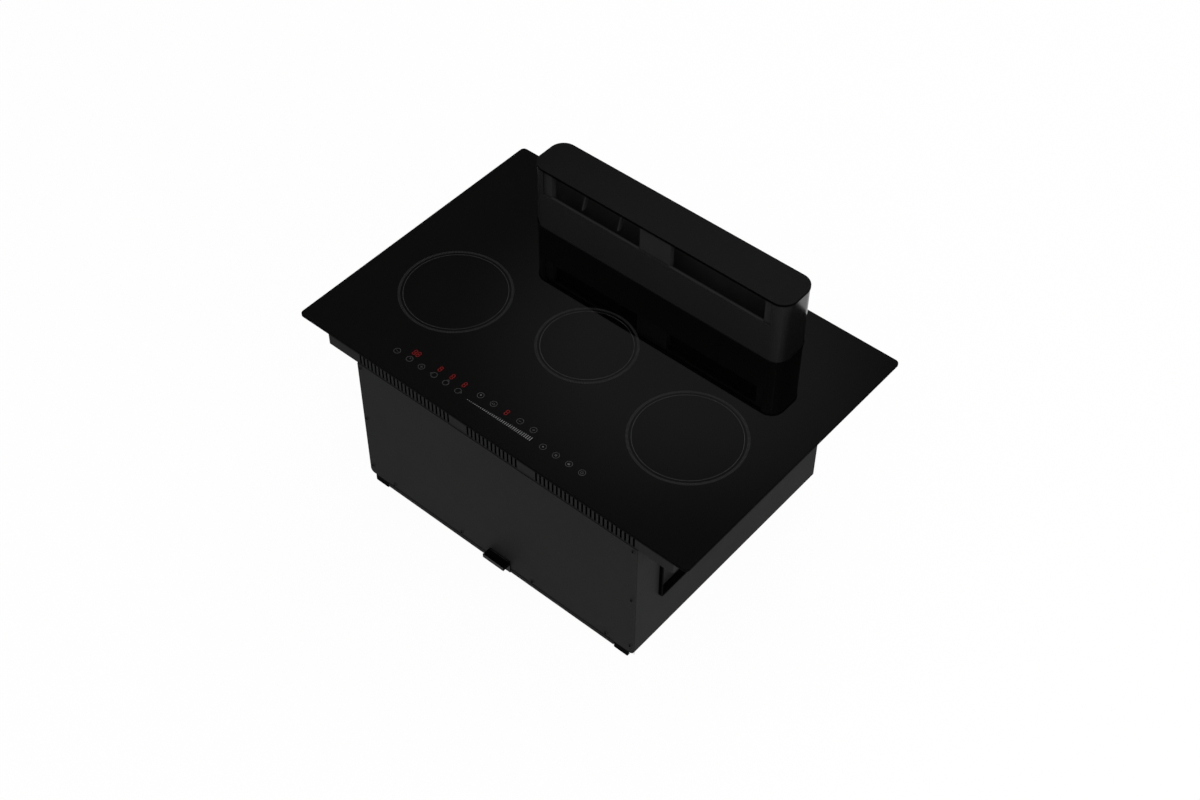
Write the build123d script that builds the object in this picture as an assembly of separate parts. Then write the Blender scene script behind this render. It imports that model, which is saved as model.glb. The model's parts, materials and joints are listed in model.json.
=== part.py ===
from build123d import *
import math
import os

os.makedirs("parts", exist_ok=True)

# Downdraft induction cooktop: a glass hob with a pop-up extractor tower behind the zones.
# Millimetres. X runs right, -Y is the cook's side, Z is up.
# The origin is on the floor line of the runners, under the middle of the glass.

# ---- driving dimensions: glass and tower ----
GLASS_W, GLASS_D, GLASS_T = 760.0, 516.0, 4.0
GLASS_TOP = 329.0
GLASS_R = 8.0
TOWER_W, TOWER_D, TOWER_R = 499.4, 77.2, 25.0
TOWER_Y = 169.6
TOWER_RISE = 121.5
CAP_T = 4.0
SHELL_T = 1.2
SHELL_BOTTOM = 250.0
WINDOW_SILL = 399.0
WINDOW_PLANE = 4.5
WINDOW_GAP_HALF = 30.0
WINDOW_OUTER = 208.5
RECESS_HALF = 222.5
FILTER_LEDGE = 303.7
GUSSET_X = [-151.0, -79.0]

# ---- driving dimensions: induction tray ----
TRAY_W, TRAY_D = 684.6, 477.2
TRAY_FLOOR = 272.3
SHEET = 1.2
SLOT_W, SLOT_PITCH = 3.5, 8.0
SLOT_LOW, SLOT_HIGH = 274.6, 304.0
SLOT_GROUPS = [(-179.7, 24), (0.0, 13), (179.7, 24)]
ZONES = {"left": (-229.9, -66.8, 85.0), "middle": (0.0, -22.0, 74.0), "right": (229.9, -66.8, 85.0)}
DECK = 304.0
COOLING_X, COOLING_Y = 100.0, 70.0
CLAMP_SPACING, CLAMP_HOLE_R, CLAMP_Z = 300.0, 2.25, 300.0
TERMINAL_X, TERMINAL_Y = -313.0, 140.0
GLAND_BODY_R, GLAND_BORE_R, GLAND_Z = 9.0, 6.5, 255.0

# ---- driving dimensions: controls ----
KEY_XY = [(-209.6, -217.3), (-183.8, -217.3), (-159.0, -217.3), (-133.6, -217.3), (-109.3, -217.3),
          (-84.0, -217.3), (82.9, -217.3), (108.2, -217.3), (132.9, -217.3), (157.3, -217.3),
          (-52.8, -202.2), (-26.9, -202.2), (25.9, -202.2), (51.6, -202.2)]
DIGIT_XY = [(-134.0, -202.4), (-109.6, -202.4), (-84.6, -202.4), (0.0, -202.4), (-183.2, -202.4)]
BOARD_LEVEL = 312.0

# ---- driving dimensions: fan box ----
BOX_W = 558.8
BOX_FRONT, BOX_REAR = -240.0, 223.2
PANEL_T = 1.4
PANEL_LOW = 13.5
WRAP_LOW = 19.0
SHELF = 86.0
PARTITION_Y = 99.5
PAN_HALF, PAN_LOW, PAN_TOP = 272.0, 14.5, 30.0
BEAD_Y, BEAD_HALF, BEAD_RISE = [-150.0, -40.0, 70.0], 215.0, 1.0
VENT_COUNT = 16
SCREW_R = 1.9
SIDE_SCREWS = [(side * 272.6, z) for side in (-1, 1) for z in (32.7, 148.0, 265.0)]
FOOT_SCREWS = [(x, 20.5) for x in (-224.5, -74.8, 74.8, 224.5)]

# ---- driving dimensions: runners and drip tray ----
RUNNER_IN, RUNNER_OUT, RUNNER_H = 241.0, 268.0, 14.5
PULL_X, PULL_W, PULL_FRONT, PULL_TOP = 7.3, 43.4, -256.8, 31.5

# ---- driving dimensions: outlet ----
DUCT_W, DUCT_H, DUCT_R = 222.0, 89.0, 6.0
DUCT_Y, DUCT_Z = -73.6, 151.5
COLLAR_OUT = 5.4
COLLAR_WALL = 3.2
DUCT_END = 262.0
COVER_X = 271.8

# ---- driving dimensions: lift ----
GEAR_MODULE, GEAR_TEETH = 1.5, 16
SHAFT_Y, SHAFT_Z, SHAFT_R = 116.0, 143.5, 3.0
RACK_X, RACK_W = 253.0, 10.0
RACK_LOW, RACK_HIGH = 138.5, 270.0
ROD_X, ROD_R = 264.0, 5.0
RUNNING = 0.05

# ---- driving dimensions: blower ----
BLOWER_X, BLOWER_Y = -60.0, -34.5
IMPELLER_R, IMPELLER_LOW, IMPELLER_HIGH = 88.0, 96.0, 178.0
BLADES = 28
HUB_LOW = 150.0
VOLUTE_START, VOLUTE_STEP = 100.0, 14.0
VOLUTE_ARC = 12.0
SCROLL_T = 1.5
SCROLL_TOP = 187.2
MOUTH_X = 52.0
TONGUE = 36.0
FLAP_X, FLAP_Z, FLAP_LOW = 176.0, 185.0, 104.5

# ---- worked-out values ----
GLASS_UNDER = GLASS_TOP - GLASS_T
CAP_TOP = GLASS_TOP + TOWER_RISE
CAP_UNDER = CAP_TOP - CAP_T
SHELL_W, SHELL_D, SHELL_R = TOWER_W - 1.6, TOWER_D - 1.6, TOWER_R - 0.8
SHELL_FRONT = TOWER_Y - SHELL_D / 2
SHELL_REAR = TOWER_Y + SHELL_D / 2
TRAY_FRONT = -TRAY_D / 2
TRAY_TOP_OF_FLOOR = TRAY_FLOOR + SHEET
PITCH_R = GEAR_MODULE * GEAR_TEETH / 2
PITCH_LINE = SHAFT_Y + PITCH_R
WALL_IN = BOX_W / 2 - SHEET
MOUTH_HIGH = BLOWER_Y + VOLUTE_STEP / 2 - VOLUTE_START * math.sin(math.radians(TONGUE))
MOUTH_LOW = BLOWER_Y - VOLUTE_STEP / 2 - VOLUTE_START - 3 * VOLUTE_STEP


# ---- shared forms ----
def block(x0, x1, y0, y1, z0, z1):
    """Rectangular block between two opposite corners."""
    middle = Pos((x0 + x1) / 2, (y0 + y1) / 2, (z0 + z1) / 2)
    return middle * Box(abs(x1 - x0), abs(y1 - y0), abs(z1 - z0))


def slab(width, depth, radius, low, high, x=0.0, y=0.0):
    """Flat plate with rounded corners, between two heights."""
    return extrude(Pos(x, y, low) * RectangleRounded(width, depth, radius), high - low)


def pillar(radius, x, y, low, high):
    """Upright round bar."""
    return Pos(x, y, (low + high) / 2) * Cylinder(radius, high - low)


def peg(radius, sides, x, y, low, high, inside=False):
    """Upright bar of several flats; the radius reaches its corners, or its flats when inside is set."""
    return extrude(Pos(x, y, low) * RegularPolygon(radius, sides, major_radius=not inside), high - low)


def peg_x(radius, sides, x0, x1, y, z, inside=False):
    """Bar of several flats lying along X."""
    section = RegularPolygon(radius, sides, major_radius=not inside)
    return Pos(x0, y, z) * Rot(0, 90, 0) * extrude(section, x1 - x0)


def peg_y(radius, sides, x, y0, y1, z, inside=False):
    """Bar of several flats lying along Y."""
    section = RegularPolygon(radius, sides, major_radius=not inside)
    return Pos(x, y0, z) * Rot(-90, 0, 0) * extrude(section, y1 - y0)


def cone(low_r, high_r, sides, low, high):
    """Upright tapered bar of several flats, on the Z axis."""
    taper = math.degrees(math.atan2((low_r - high_r) * math.cos(math.pi / sides), high - low))
    return extrude(Pos(0, 0, low) * RegularPolygon(low_r, sides), high - low, taper=taper)


def bar_x(radius, x0, x1, y, z):
    """Round bar lying along X."""
    return Pos((x0 + x1) / 2, y, z) * Rot(0, 90, 0) * Cylinder(radius, abs(x1 - x0))


def bar_y(radius, x, y0, y1, z):
    """Round bar lying along Y."""
    return Pos(x, (y0 + y1) / 2, z) * Rot(90, 0, 0) * Cylinder(radius, abs(y1 - y0))


def both_sides(shape):
    """The shape and its mirror image across the middle plane."""
    return [shape, mirror(shape, about=Plane.YZ)]


def save(name, *pieces):
    """Write one node: a single solid, or a group of separate identical solids."""
    shape = pieces[0] if len(pieces) == 1 else Compound(children=list(pieces))
    export_step(shape, f"parts/{name}.step")


# ---- glass, seals and tower well ----
def glass_top():
    plate = slab(GLASS_W, GLASS_D, GLASS_R, GLASS_UNDER, GLASS_TOP)
    slot = slab(TOWER_W + 1.2, TOWER_D + 1.2, TOWER_R + 0.6, GLASS_UNDER - 1, GLASS_TOP + 1, y=TOWER_Y)
    plate = chamfer(plate.faces().sort_by(Axis.Z)[-1].outer_wire().edges(), 0.6)
    return plate - slot


def worktop_seal():
    outer = slab(GLASS_W - 6, GLASS_D - 6, GLASS_R - 3, GLASS_UNDER - 2.5, GLASS_UNDER)
    half_w, half_d = GLASS_W / 2 - 13, GLASS_D / 2 - 12
    return outer - block(-half_w, half_w, -half_d, half_d, GLASS_UNDER - 3, GLASS_UNDER + 1)


def slot_seal():
    half_w, half_d = SHELL_W / 2 + 6, SHELL_D / 2 + 6
    outer = block(-half_w, half_w, TOWER_Y - half_d, TOWER_Y + half_d, GLASS_UNDER - 2, GLASS_UNDER)
    outer = chamfer(outer.edges().filter_by(Axis.Z), 15)
    inner = slab(SHELL_W + 0.6, SHELL_D + 0.6, SHELL_R + 0.3, GLASS_UNDER - 3, GLASS_UNDER + 1, y=TOWER_Y)
    return outer - inner


def tower_well():
    top = GLASS_UNDER - 2
    low = TRAY_TOP_OF_FLOOR
    half_w, half_d = SHELL_W / 2 + 4.5, SHELL_D / 2 + 4.5
    outer = block(-half_w, half_w, TOWER_Y - half_d, TOWER_Y + half_d, low, top)
    outer = chamfer(outer.edges().filter_by(Axis.Z), 15)
    half_w, half_d = SHELL_W / 2 + 10, SHELL_D / 2 + 10
    flange = block(-half_w, half_w, TOWER_Y - half_d, TOWER_Y + half_d, low, low + 1.5)
    inner = slab(SHELL_W + 6, SHELL_D + 6, SHELL_R + 3, TRAY_FLOOR - 1, top + 1, y=TOWER_Y)
    return outer + flange - inner


# ---- induction tray ----
def hob_tray():
    body = block(-TRAY_W / 2, TRAY_W / 2, TRAY_FRONT, -TRAY_FRONT, TRAY_FLOOR, GLASS_UNDER)
    body = chamfer(body.edges().filter_by(Axis.Z), 1.5)
    lip_w, lip_d = TRAY_W / 2 + 6, TRAY_D / 2 + 6
    lip = block(-lip_w, lip_w, -lip_d, lip_d, GLASS_UNDER - SHEET, GLASS_UNDER)
    in_w, in_d = TRAY_W / 2 - SHEET, TRAY_D / 2 - SHEET
    hollow = block(-in_w, in_w, -in_d, in_d, TRAY_TOP_OF_FLOOR, GLASS_UNDER + 1)
    hollow = chamfer(hollow.edges().filter_by(Axis.Z), 1.8)
    tray = body + lip - hollow
    slot_w, slot_d = SHELL_W / 2 + 3, SHELL_D / 2 + 3
    slot = block(-slot_w, slot_w, TOWER_Y - slot_d, TOWER_Y + slot_d, TRAY_FLOOR - 1, DECK)
    tray -= chamfer(slot.edges().filter_by(Axis.Z), 10)
    for x in (-COOLING_X, COOLING_X):
        tray -= peg(37, 20, x, COOLING_Y, TRAY_FLOOR - 1, TRAY_TOP_OF_FLOOR + 1)
    for middle, count in SLOT_GROUPS:
        for step in range(count):
            x = middle + (step - (count - 1) / 2) * SLOT_PITCH
            tray -= block(x - SLOT_W / 2, x + SLOT_W / 2, TRAY_FRONT - 1, TRAY_FRONT + 2, SLOT_LOW, SLOT_HIGH)
    for y in (-CLAMP_SPACING / 2, CLAMP_SPACING / 2):
        tray -= bar_x(CLAMP_HOLE_R, -TRAY_W / 2 - 1, TRAY_W / 2 + 1, y, CLAMP_Z)
    tray -= peg(8, 12, TERMINAL_X, TERMINAL_Y, TRAY_FLOOR - 1, TRAY_TOP_OF_FLOOR + 1)
    return tray


def coil_deck():
    """Folded aluminium sheet that carries the coils above the power electronics."""
    half_w, front, rear, leg = 330.0, -178.0, 118.0, 1.5
    deck = block(-half_w, half_w, front, rear, DECK - leg, DECK)
    for y in (front, rear - leg):
        for x in (-half_w, -20, half_w - 40):
            deck += block(x, x + 40, y, y + leg, TRAY_TOP_OF_FLOOR, DECK)
    for x, y in ((-150, -120), (110, -120), (-20, 95)):
        deck -= block(x, x + 40, y, y + 12, DECK - 5, DECK + 1)
    return deck


def coil_carrier(x, y, radius):
    """Aluminium disc with a centre hole for the sensor lead and three lightening windows."""
    disc = peg(radius + 4, 20, x, y, 311.5, 313.0) - peg(6, 6, x, y, 311, 314)
    for angle in (30, 150, 270):
        disc -= Pos(x, y, 312) * Rot(0, 0, angle) * Pos(radius * 0.6, 0, 0) * Box(radius * 0.5, 6, 4)
    return disc


def coil(x, y, radius):
    """Flat winding: a ring of copper strands with an open middle."""
    return peg(radius, 28, x, y, 317.0, 322.2) - peg(20, 12, x, y, 316, 323)


def ferrites(x, y, radius):
    bars = []
    for angle in range(0, 360, 60):
        bar = Pos(x, y, 315) * Rot(0, 0, angle) * Pos((radius + 26) / 2, 0, 0) * Box(radius - 30, 12, 4)
        bars.append(bar)
    return bars


def coil_springs(x, y, radius):
    """Three arched leaf springs between the deck and one coil carrier."""
    leaves = []
    arch = Plane.XZ * make_face(
        Polyline((-16, 0), (-9, 0), (-4, 6.6), (4, 6.6), (9, 0), (16, 0),
                 (9.6, 0.9), (4.6, 7.5), (-4.6, 7.5), (-9.6, 0.9), close=True))
    leaf = extrude(arch, 4, both=True)
    for angle in (90, 210, 330):
        leaves.append(Pos(x, y, DECK) * Rot(0, 0, angle) * Pos(radius * 0.75, 0, 0) * leaf)
    return leaves


def mica_sheet(x, y, radius):
    return peg(radius + 3, 20, x, y, 322.2, 323.0) - peg(5.5, 6, x, y, 322, 324)


def coil_sensor(x, y):
    return peg(4.5, 8, x, y, 313.0, GLASS_UNDER - 0.1)


def power_board():
    """Right circuit board on four hexagonal posts, with its bus capacitors and choke."""
    x0, x1, y0, y1 = 156.0, 322.0, -150.0, 60.0
    level = 279.0
    board = block(x0, x1, y0, y1, level, level + 1.6)
    for x in (x0 + 6, x1 - 6):
        for y in (y0 + 6, y1 - 6):
            board += peg(3, 6, x, y, TRAY_TOP_OF_FLOOR, level)
    for x in (180, 205, 230):
        board += block(x, x + 20, -140, -112, level + 1.6, level + 17)
    board += peg(16, 12, 292, -118, level + 1.6, level + 18)
    return board


def heat_sink():
    """Right extruded aluminium sink with upright fins."""
    base = block(176, 306, -70, 0, 280.8, 284.8)
    for step in range(11):
        x = 176 + step * 12.8
        base += block(x, x + 1.95, -70, 0, 284.8, 300.5)
    return base


def filter_board():
    """Mains filter board on hexagonal posts: two ring chokes and a relay."""
    level = 279.0
    board = block(-80, 80, -150, -40, level, level + 1.6)
    for x in (-74, 74):
        for y in (-144, -46):
            board += peg(3, 6, x, y, TRAY_TOP_OF_FLOOR, level)
    for x in (-40, 10):
        board += peg(17, 16, x, -95, level + 1.6, level + 19) - peg(7, 8, x, -95, level + 3, level + 20)
    board += block(40, 66, -120, -70, level + 1.6, level + 16)
    return board


def fan_frame(x, y):
    """Square frame of an axial fan, with a hub on four arms that holds the rotor's pin."""
    low, high = TRAY_TOP_OF_FLOOR, TRAY_TOP_OF_FLOOR + 20
    frame = block(x - 40, x + 40, y - 40, y + 40, low, high)
    frame = chamfer(frame.edges().filter_by(Axis.Z), 4) - peg(38, 20, x, y, low - 1, high + 1)
    frame += peg(15, 10, x, y, low, low + 3)
    for angle in (45, 135):
        frame += Pos(x, y, low + 1.5) * Rot(0, 0, angle) * Box(80, 4, 3)
    return frame - peg(2.0 + RUNNING, 8, x, y, low + 1, low + 4, inside=True)


def fan_rotor(x, y):
    """Hub cup with six pitched blades and its own pin."""
    low = TRAY_TOP_OF_FLOOR + 4.5
    rotor = peg(16, 12, x, y, low, low + 14)
    blade = Pos(26, 0, 7) * Rot(38, 0, 0) * Box(21, 1.2, 14)
    for angle in range(0, 360, 60):
        rotor += Pos(x, y, low) * Rot(0, 0, angle) * blade
    return rotor + peg(2.0, 8, x, y, TRAY_TOP_OF_FLOOR + 1.4, low)


# ---- controls ----
def control_holder():
    """Moulded tray that holds the touch board up under the glass."""
    outer = block(-225, 175, -236.5, -188, 306, 314)
    hollow = block(-222, 172, -233.5, -191, 308, 315)
    holder = outer - hollow
    for x in (-215, -25, 155):
        holder += block(x, x + 10, -230, -195, TRAY_TOP_OF_FLOOR, 306)
    for x in (-210, -20, 160):
        for y in (-228, -197):
            holder += peg(2.5, 6, x, y, 308, BOARD_LEVEL)
    return holder


def control_board():
    return block(-221.5, 171.5, -233, -191.5, BOARD_LEVEL, BOARD_LEVEL + 1.6)


def digit_modules():
    modules = []
    for x, y in DIGIT_XY:
        half = 11 if x < -150 else 6
        modules.append(block(x - half, x + half, y - 5, y + 5, BOARD_LEVEL + 1.6, GLASS_UNDER - 0.4))
    return modules


def key_pads():
    top = GLASS_UNDER - 0.1
    return [block(x - 4, x + 4, y - 3.5, y + 3.5, BOARD_LEVEL + 1.6, top) for x, y in KEY_XY]


# ---- tower ----
def tower_cap():
    cap = slab(TOWER_W, TOWER_D, TOWER_R, CAP_UNDER, CAP_TOP, y=TOWER_Y)
    return chamfer(cap.faces().sort_by(Axis.Z)[-1].edges(), 0.4)


def tower_shell():
    """Rounded sheet tube with a recessed band for the intake windows."""
    outer = slab(SHELL_W, SHELL_D, SHELL_R, SHELL_BOTTOM, CAP_UNDER, y=TOWER_Y)
    bore_w, bore_d = SHELL_W - 2 * SHELL_T, SHELL_D - 2 * SHELL_T
    bore = slab(bore_w, bore_d, SHELL_R - SHELL_T, SHELL_BOTTOM + SHELL_T, CAP_UNDER - SHELL_T, y=TOWER_Y)
    end_w, end_d = bore_w / 2 - 6, bore_d / 2 - 6
    ends = block(-end_w, end_w, TOWER_Y - end_d, TOWER_Y + end_d, SHELL_BOTTOM - 1, CAP_UNDER + 1)
    ends = chamfer(ends.edges().filter_by(Axis.Z), 10)
    shell = outer - bore - ends
    recess_back = SHELL_FRONT + WINDOW_PLANE
    shell -= block(-RECESS_HALF, RECESS_HALF, SHELL_FRONT - 1, recess_back + 12, WINDOW_SILL, CAP_UNDER + 1)
    inside = SHELL_FRONT + SHELL_T
    shell += block(-RECESS_HALF, RECESS_HALF, inside, recess_back - 0.1, WINDOW_SILL - 1.5, WINDOW_SILL)
    rear = SHELL_REAR - SHELL_T
    shell += block(-220, 220, rear - 10, rear, FILTER_LEDGE - 1.5, FILTER_LEDGE)
    return shell


def window_frame():
    """Pillars and rails set back behind the shell's front, round two windows."""
    front = SHELL_FRONT + WINDOW_PLANE
    top = CAP_UNDER - 0.3
    frame = block(-229, 229, front, front + 1.5, 380, CAP_UNDER - SHELL_T - 0.1)
    frame += block(-RECESS_HALF + 0.2, RECESS_HALF - 0.2, front, front + 1.5, 440, top)
    frame += block(-229, 229, front + 1.5, front + 4.45, 379, 380.2)
    frame += block(-229, 229, front, front + 1.5, 379, 380)
    for side in (-1, 1):
        near, far = side * WINDOW_GAP_HALF, side * WINDOW_OUTER
        frame -= block(near, far, front - 1, front + 3, WINDOW_SILL, top - 5)
    for edge in (WINDOW_GAP_HALF, WINDOW_OUTER):
        inward = -4 if edge == WINDOW_GAP_HALF else 0
        for side in (-1, 1):
            x0 = side * (edge + inward)
            frame += block(x0, x0 + side * 4, front + 1.5, front + 9, 393, top - 2)
    return frame


def grease_filter():
    """Right filter: aluminium frame with a slotted core, leaning across the air shaft."""
    width, length, thick = 226.0, 96.0, 8.0
    frame = Box(width, thick, length) - Box(width - 14, thick + 1, length - 14)
    core = Box(width - 14, 2.4, length - 14)
    for step in range(9):
        x = (step - 4) * 23
        core -= Pos(x, 0, 0) * Box(9, 4, length - 26)
    panel = frame + core
    return Pos(115, 172.8, 344.5) * Rot(36.87, 0, 0) * panel


def cap_stiffener():
    """Plate under the cap with two leaning gussets that brace the left intake."""
    top = CAP_UNDER - SHELL_T - 0.1
    plate = block(-236, 236, 150, 199, top - 2, top)
    profile = Plane.YZ * make_face(
        Polyline((142.5, 400.5), (149.5, 400.5), (167.0, top - 1), (157.0, top - 1), close=True))
    gusset = extrude(profile, 1.5, both=True)
    for x in GUSSET_X:
        plate += Pos(x, 0, 0) * gusset
    return plate


def lift_bracket():
    """Right bracket: clamps the shell's end to the guide rod and carries the rack."""
    low, high = 236.0, 264.0
    inner = SHELL_W / 2
    body = block(inner, 272, 138, 183, low, high)
    body = chamfer(body.edges().filter_by(Axis.Z).sort_by(Axis.X)[-2:], 4)
    foot = block(inner, inner + 3, 156, 183, high, 270)
    tail = block(RACK_X, RACK_X + RACK_W, 138, 146, 200, low)
    body = body + foot + tail
    return body - peg(ROD_R + RUNNING, 12, ROD_X, TOWER_Y, low - 1, 271, inside=True)


def lift_rack():
    """Right rack: straight-sided teeth that face the cook's side."""
    pitch = math.pi * GEAR_MODULE
    addendum, dedendum = 0.88 * GEAR_MODULE, 1.25 * GEAR_MODULE
    lean = math.tan(math.radians(20))
    half = pitch / 4 - 0.1
    back, root, tip = 138.0, PITCH_LINE + dedendum, PITCH_LINE - addendum
    points = [(back, RACK_LOW), (root, RACK_LOW)]
    first = math.ceil((RACK_LOW + half + 1 - SHAFT_Z) / pitch - 0.5)
    last = math.floor((RACK_HIGH - half - 1 - SHAFT_Z) / pitch - 0.5)
    for step in range(first, last + 1):
        z = SHAFT_Z + (step + 0.5) * pitch
        points += [(root, z - half - dedendum * lean), (tip, z - half + addendum * lean)]
        points += [(tip, z + half - addendum * lean), (root, z + half + dedendum * lean)]
    points += [(root, RACK_HIGH), (back, RACK_HIGH)]
    profile = Plane.YZ * make_face(Polyline(*points, close=True))
    return Pos(RACK_X, 0, 0) * extrude(profile, RACK_W)


# ---- lift drive ----
def involute(angle_cos):
    angle = math.acos(angle_cos)
    return math.tan(angle) - angle


def lift_pinion():
    """Right pinion: sixteen involute teeth, one of them pointing at the rack at rest."""
    base_r = PITCH_R * math.cos(math.radians(20))
    root_r, tip_r = PITCH_R - 1.25 * GEAR_MODULE, PITCH_R + GEAR_MODULE
    half_at_pitch = math.pi / (2 * GEAR_TEETH) - 0.1 / PITCH_R + involute(base_r / PITCH_R)
    radii = [root_r, PITCH_R, tip_r]
    flank = [(r, half_at_pitch - involute(min(1.0, base_r / r))) for r in radii]
    points = []
    for tooth in range(GEAR_TEETH):
        middle = tooth * 2 * math.pi / GEAR_TEETH
        for r, half in flank:
            points.append((r * math.cos(middle - half), r * math.sin(middle - half)))
        for r, half in reversed(flank):
            points.append((r * math.cos(middle + half), r * math.sin(middle + half)))
    profile = Plane.YZ * make_face(Polyline(*points, close=True))
    gear = Pos(254, SHAFT_Y, SHAFT_Z) * extrude(profile, 8)
    hub = peg_x(6.5, 12, 249, 254, SHAFT_Y, SHAFT_Z)
    return gear + hub - bar_x(SHAFT_R, 240, 270, SHAFT_Y, SHAFT_Z)


def lift_shaft():
    return bar_x(SHAFT_R, -266, 266, SHAFT_Y, SHAFT_Z)


def shaft_bearing():
    """Right pillow block, bolted to the partition."""
    body = block(236, 246, PARTITION_Y + SHEET, 121, 131, 156)
    body = chamfer(body.edges().filter_by(Axis.X).sort_by(Axis.Y)[-2:], 4)
    foot = block(228, 246, PARTITION_Y + SHEET, PARTITION_Y + SHEET + 3, 124, 163)
    return body + foot - peg_x(SHAFT_R + RUNNING, 12, 230, 250, SHAFT_Y, SHAFT_Z, inside=True)


def lift_motor():
    """Hollow-shaft gear motor: round motor, square gearbox and a back plate."""
    back = PARTITION_Y + SHEET
    motor = peg_x(13.4, 16, -46, 8, SHAFT_Y, SHAFT_Z)
    gearbox = block(8, 46, 102.8, 129.2, 130, 157)
    gearbox = chamfer(gearbox.edges().filter_by(Axis.X), 3)
    plate = block(-56, 56, back, back + 2.2, 126, 161)
    saddle = block(-40, 0, back + 1, 106, 134, 153)
    body = motor + gearbox + plate + saddle
    return body - peg_x(SHAFT_R + RUNNING, 12, -60, 60, SHAFT_Y, SHAFT_Z, inside=True)


def guide_rod():
    return pillar(ROD_R, ROD_X, TOWER_Y, PAN_LOW + SHEET + 1, 270.9)


def rod_bracket(outer, low, high):
    """Right end block of a guide rod; outer is its face against the box or the pan."""
    body = block(256, outer, 158, 181, low, high)
    body = chamfer(body.edges().filter_by(Axis.Z).sort_by(Axis.X)[:2], 3)
    return body - peg(ROD_R, 12, ROD_X, TOWER_Y, low - 1, high + 1, inside=True)


# ---- blower ----
def volute(grow):
    """Four-arc volute of short flats with a straight neck towards +X, widened by grow."""
    half = VOLUTE_STEP / 2
    radii = [VOLUTE_START + step * VOLUTE_STEP + grow for step in range(4)]
    centres = [(half, half), (-half, half), (-half, -half), (half, -half)]
    angles = [(-TONGUE, 0), (0, 90), (90, 180), (180, 270)]
    points = []
    for radius, (cx, cy), (start, end) in zip(radii, centres, angles):
        flats = math.ceil((end - start) / VOLUTE_ARC)
        for step in range(flats):
            angle = math.radians(start + (end - start) * step / flats)
            points.append((cx + radius * math.cos(angle), cy + radius * math.sin(angle)))
    low_y = -half - radii[3]
    points += [(half, low_y), (points[0][0], low_y)]
    neck_top = MOUTH_HIGH - BLOWER_Y + grow
    neck_w, neck_h = MOUTH_X - BLOWER_X - half, neck_top - low_y
    neck = Pos(half + neck_w / 2, low_y + neck_h / 2) * Rectangle(neck_w, neck_h)
    return make_face(Polyline(*points, close=True)) + neck


def blower_scroll():
    """Base plate and spiral wall; the mouth opens to the right."""
    inner = Pos(BLOWER_X, BLOWER_Y, 0) * volute(0)
    outer = Pos(BLOWER_X, BLOWER_Y, 0) * volute(SCROLL_T)
    floor_top = SHELF + SCROLL_T
    lid_low = SCROLL_TOP - SCROLL_T
    wall = extrude(Pos(0, 0, SHELF) * outer, lid_low - SHELF)
    hollow = extrude(Pos(0, 0, floor_top) * inner, lid_low - floor_top + 1)
    scroll = wall - hollow
    return scroll - peg(80, 28, BLOWER_X, BLOWER_Y, SHELF - 1, floor_top + 1)


def scroll_lid():
    lid = extrude(Pos(BLOWER_X, BLOWER_Y, SCROLL_TOP - SCROLL_T) * volute(SCROLL_T), SCROLL_T)
    return lid - peg(7, 12, BLOWER_X, BLOWER_Y, 180, 190)


def inlet_ring():
    """Flanged nozzle that leads the air into the impeller's eye."""
    low, high = SHELF + SCROLL_T, IMPELLER_LOW - 1.5
    flange = peg(86, 28, 0, 0, low, low + 1.2)
    nozzle = cone(76, 72.4, 28, low, high)
    throat = cone(74.6, 71, 28, low, high)
    return Pos(BLOWER_X, BLOWER_Y, 0) * (flange + nozzle - throat)


def impeller():
    """Forward-curved wheel: back disc, hub, rim ring and curved blades."""
    eye_r, thick, back = IMPELLER_R - 15, 1.6, IMPELLER_HIGH
    wheel = peg(IMPELLER_R, BLADES, 0, 0, back - thick, back)
    rim = peg(IMPELLER_R, BLADES, 0, 0, IMPELLER_LOW, IMPELLER_LOW + thick)
    wheel += rim - peg(eye_r, BLADES, 0, 0, IMPELLER_LOW - 1, IMPELLER_LOW + 3)
    wheel += cone(14, 30, 18, HUB_LOW, back - 1)
    wheel -= pillar(4, 0, 0, HUB_LOW - 1, back + 1)
    lean, tip_r, root_r = math.radians(9), IMPELLER_R - 1, eye_r + 0.6
    tip = (math.cos(lean) * tip_r, math.sin(lean) * tip_r)
    front_side = ThreePointArc((root_r, 0), (root_r + 7.4, 1.0), tip)
    rear_side = ThreePointArc((root_r, 1.2), (root_r + 6.8, 2.1), (tip[0] - 0.5, tip[1] + 1.1))
    along = (0, 0.5, 1)
    outline = [front_side @ share for share in along] + [rear_side @ share for share in reversed(along)]
    profile = Pos(0, 0, IMPELLER_LOW + 1) * make_face(Polyline(*outline, close=True))
    blade = extrude(profile, back - IMPELLER_LOW - 2)
    wheel = wheel.fuse(*[Rot(0, 0, step * 360 / BLADES) * blade for step in range(BLADES)])
    return Pos(BLOWER_X, BLOWER_Y, 0) * wheel


def blower_shaft():
    return pillar(4, BLOWER_X, BLOWER_Y, HUB_LOW, 201)


def blower_motor():
    """Round motor on the lid, with a flange and a tapered cover."""
    low, shoulder, top = SCROLL_TOP, SCROLL_TOP + 38, SCROLL_TOP + 44
    body = peg(56, 24, 0, 0, low, low + 3) + peg(48, 24, 0, 0, low, shoulder)
    body += cone(48, 42, 24, shoulder, top)
    return Pos(BLOWER_X, BLOWER_Y, 0) * (body - peg(4 + RUNNING, 12, 0, 0, low - 1, 202, inside=True))


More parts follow.
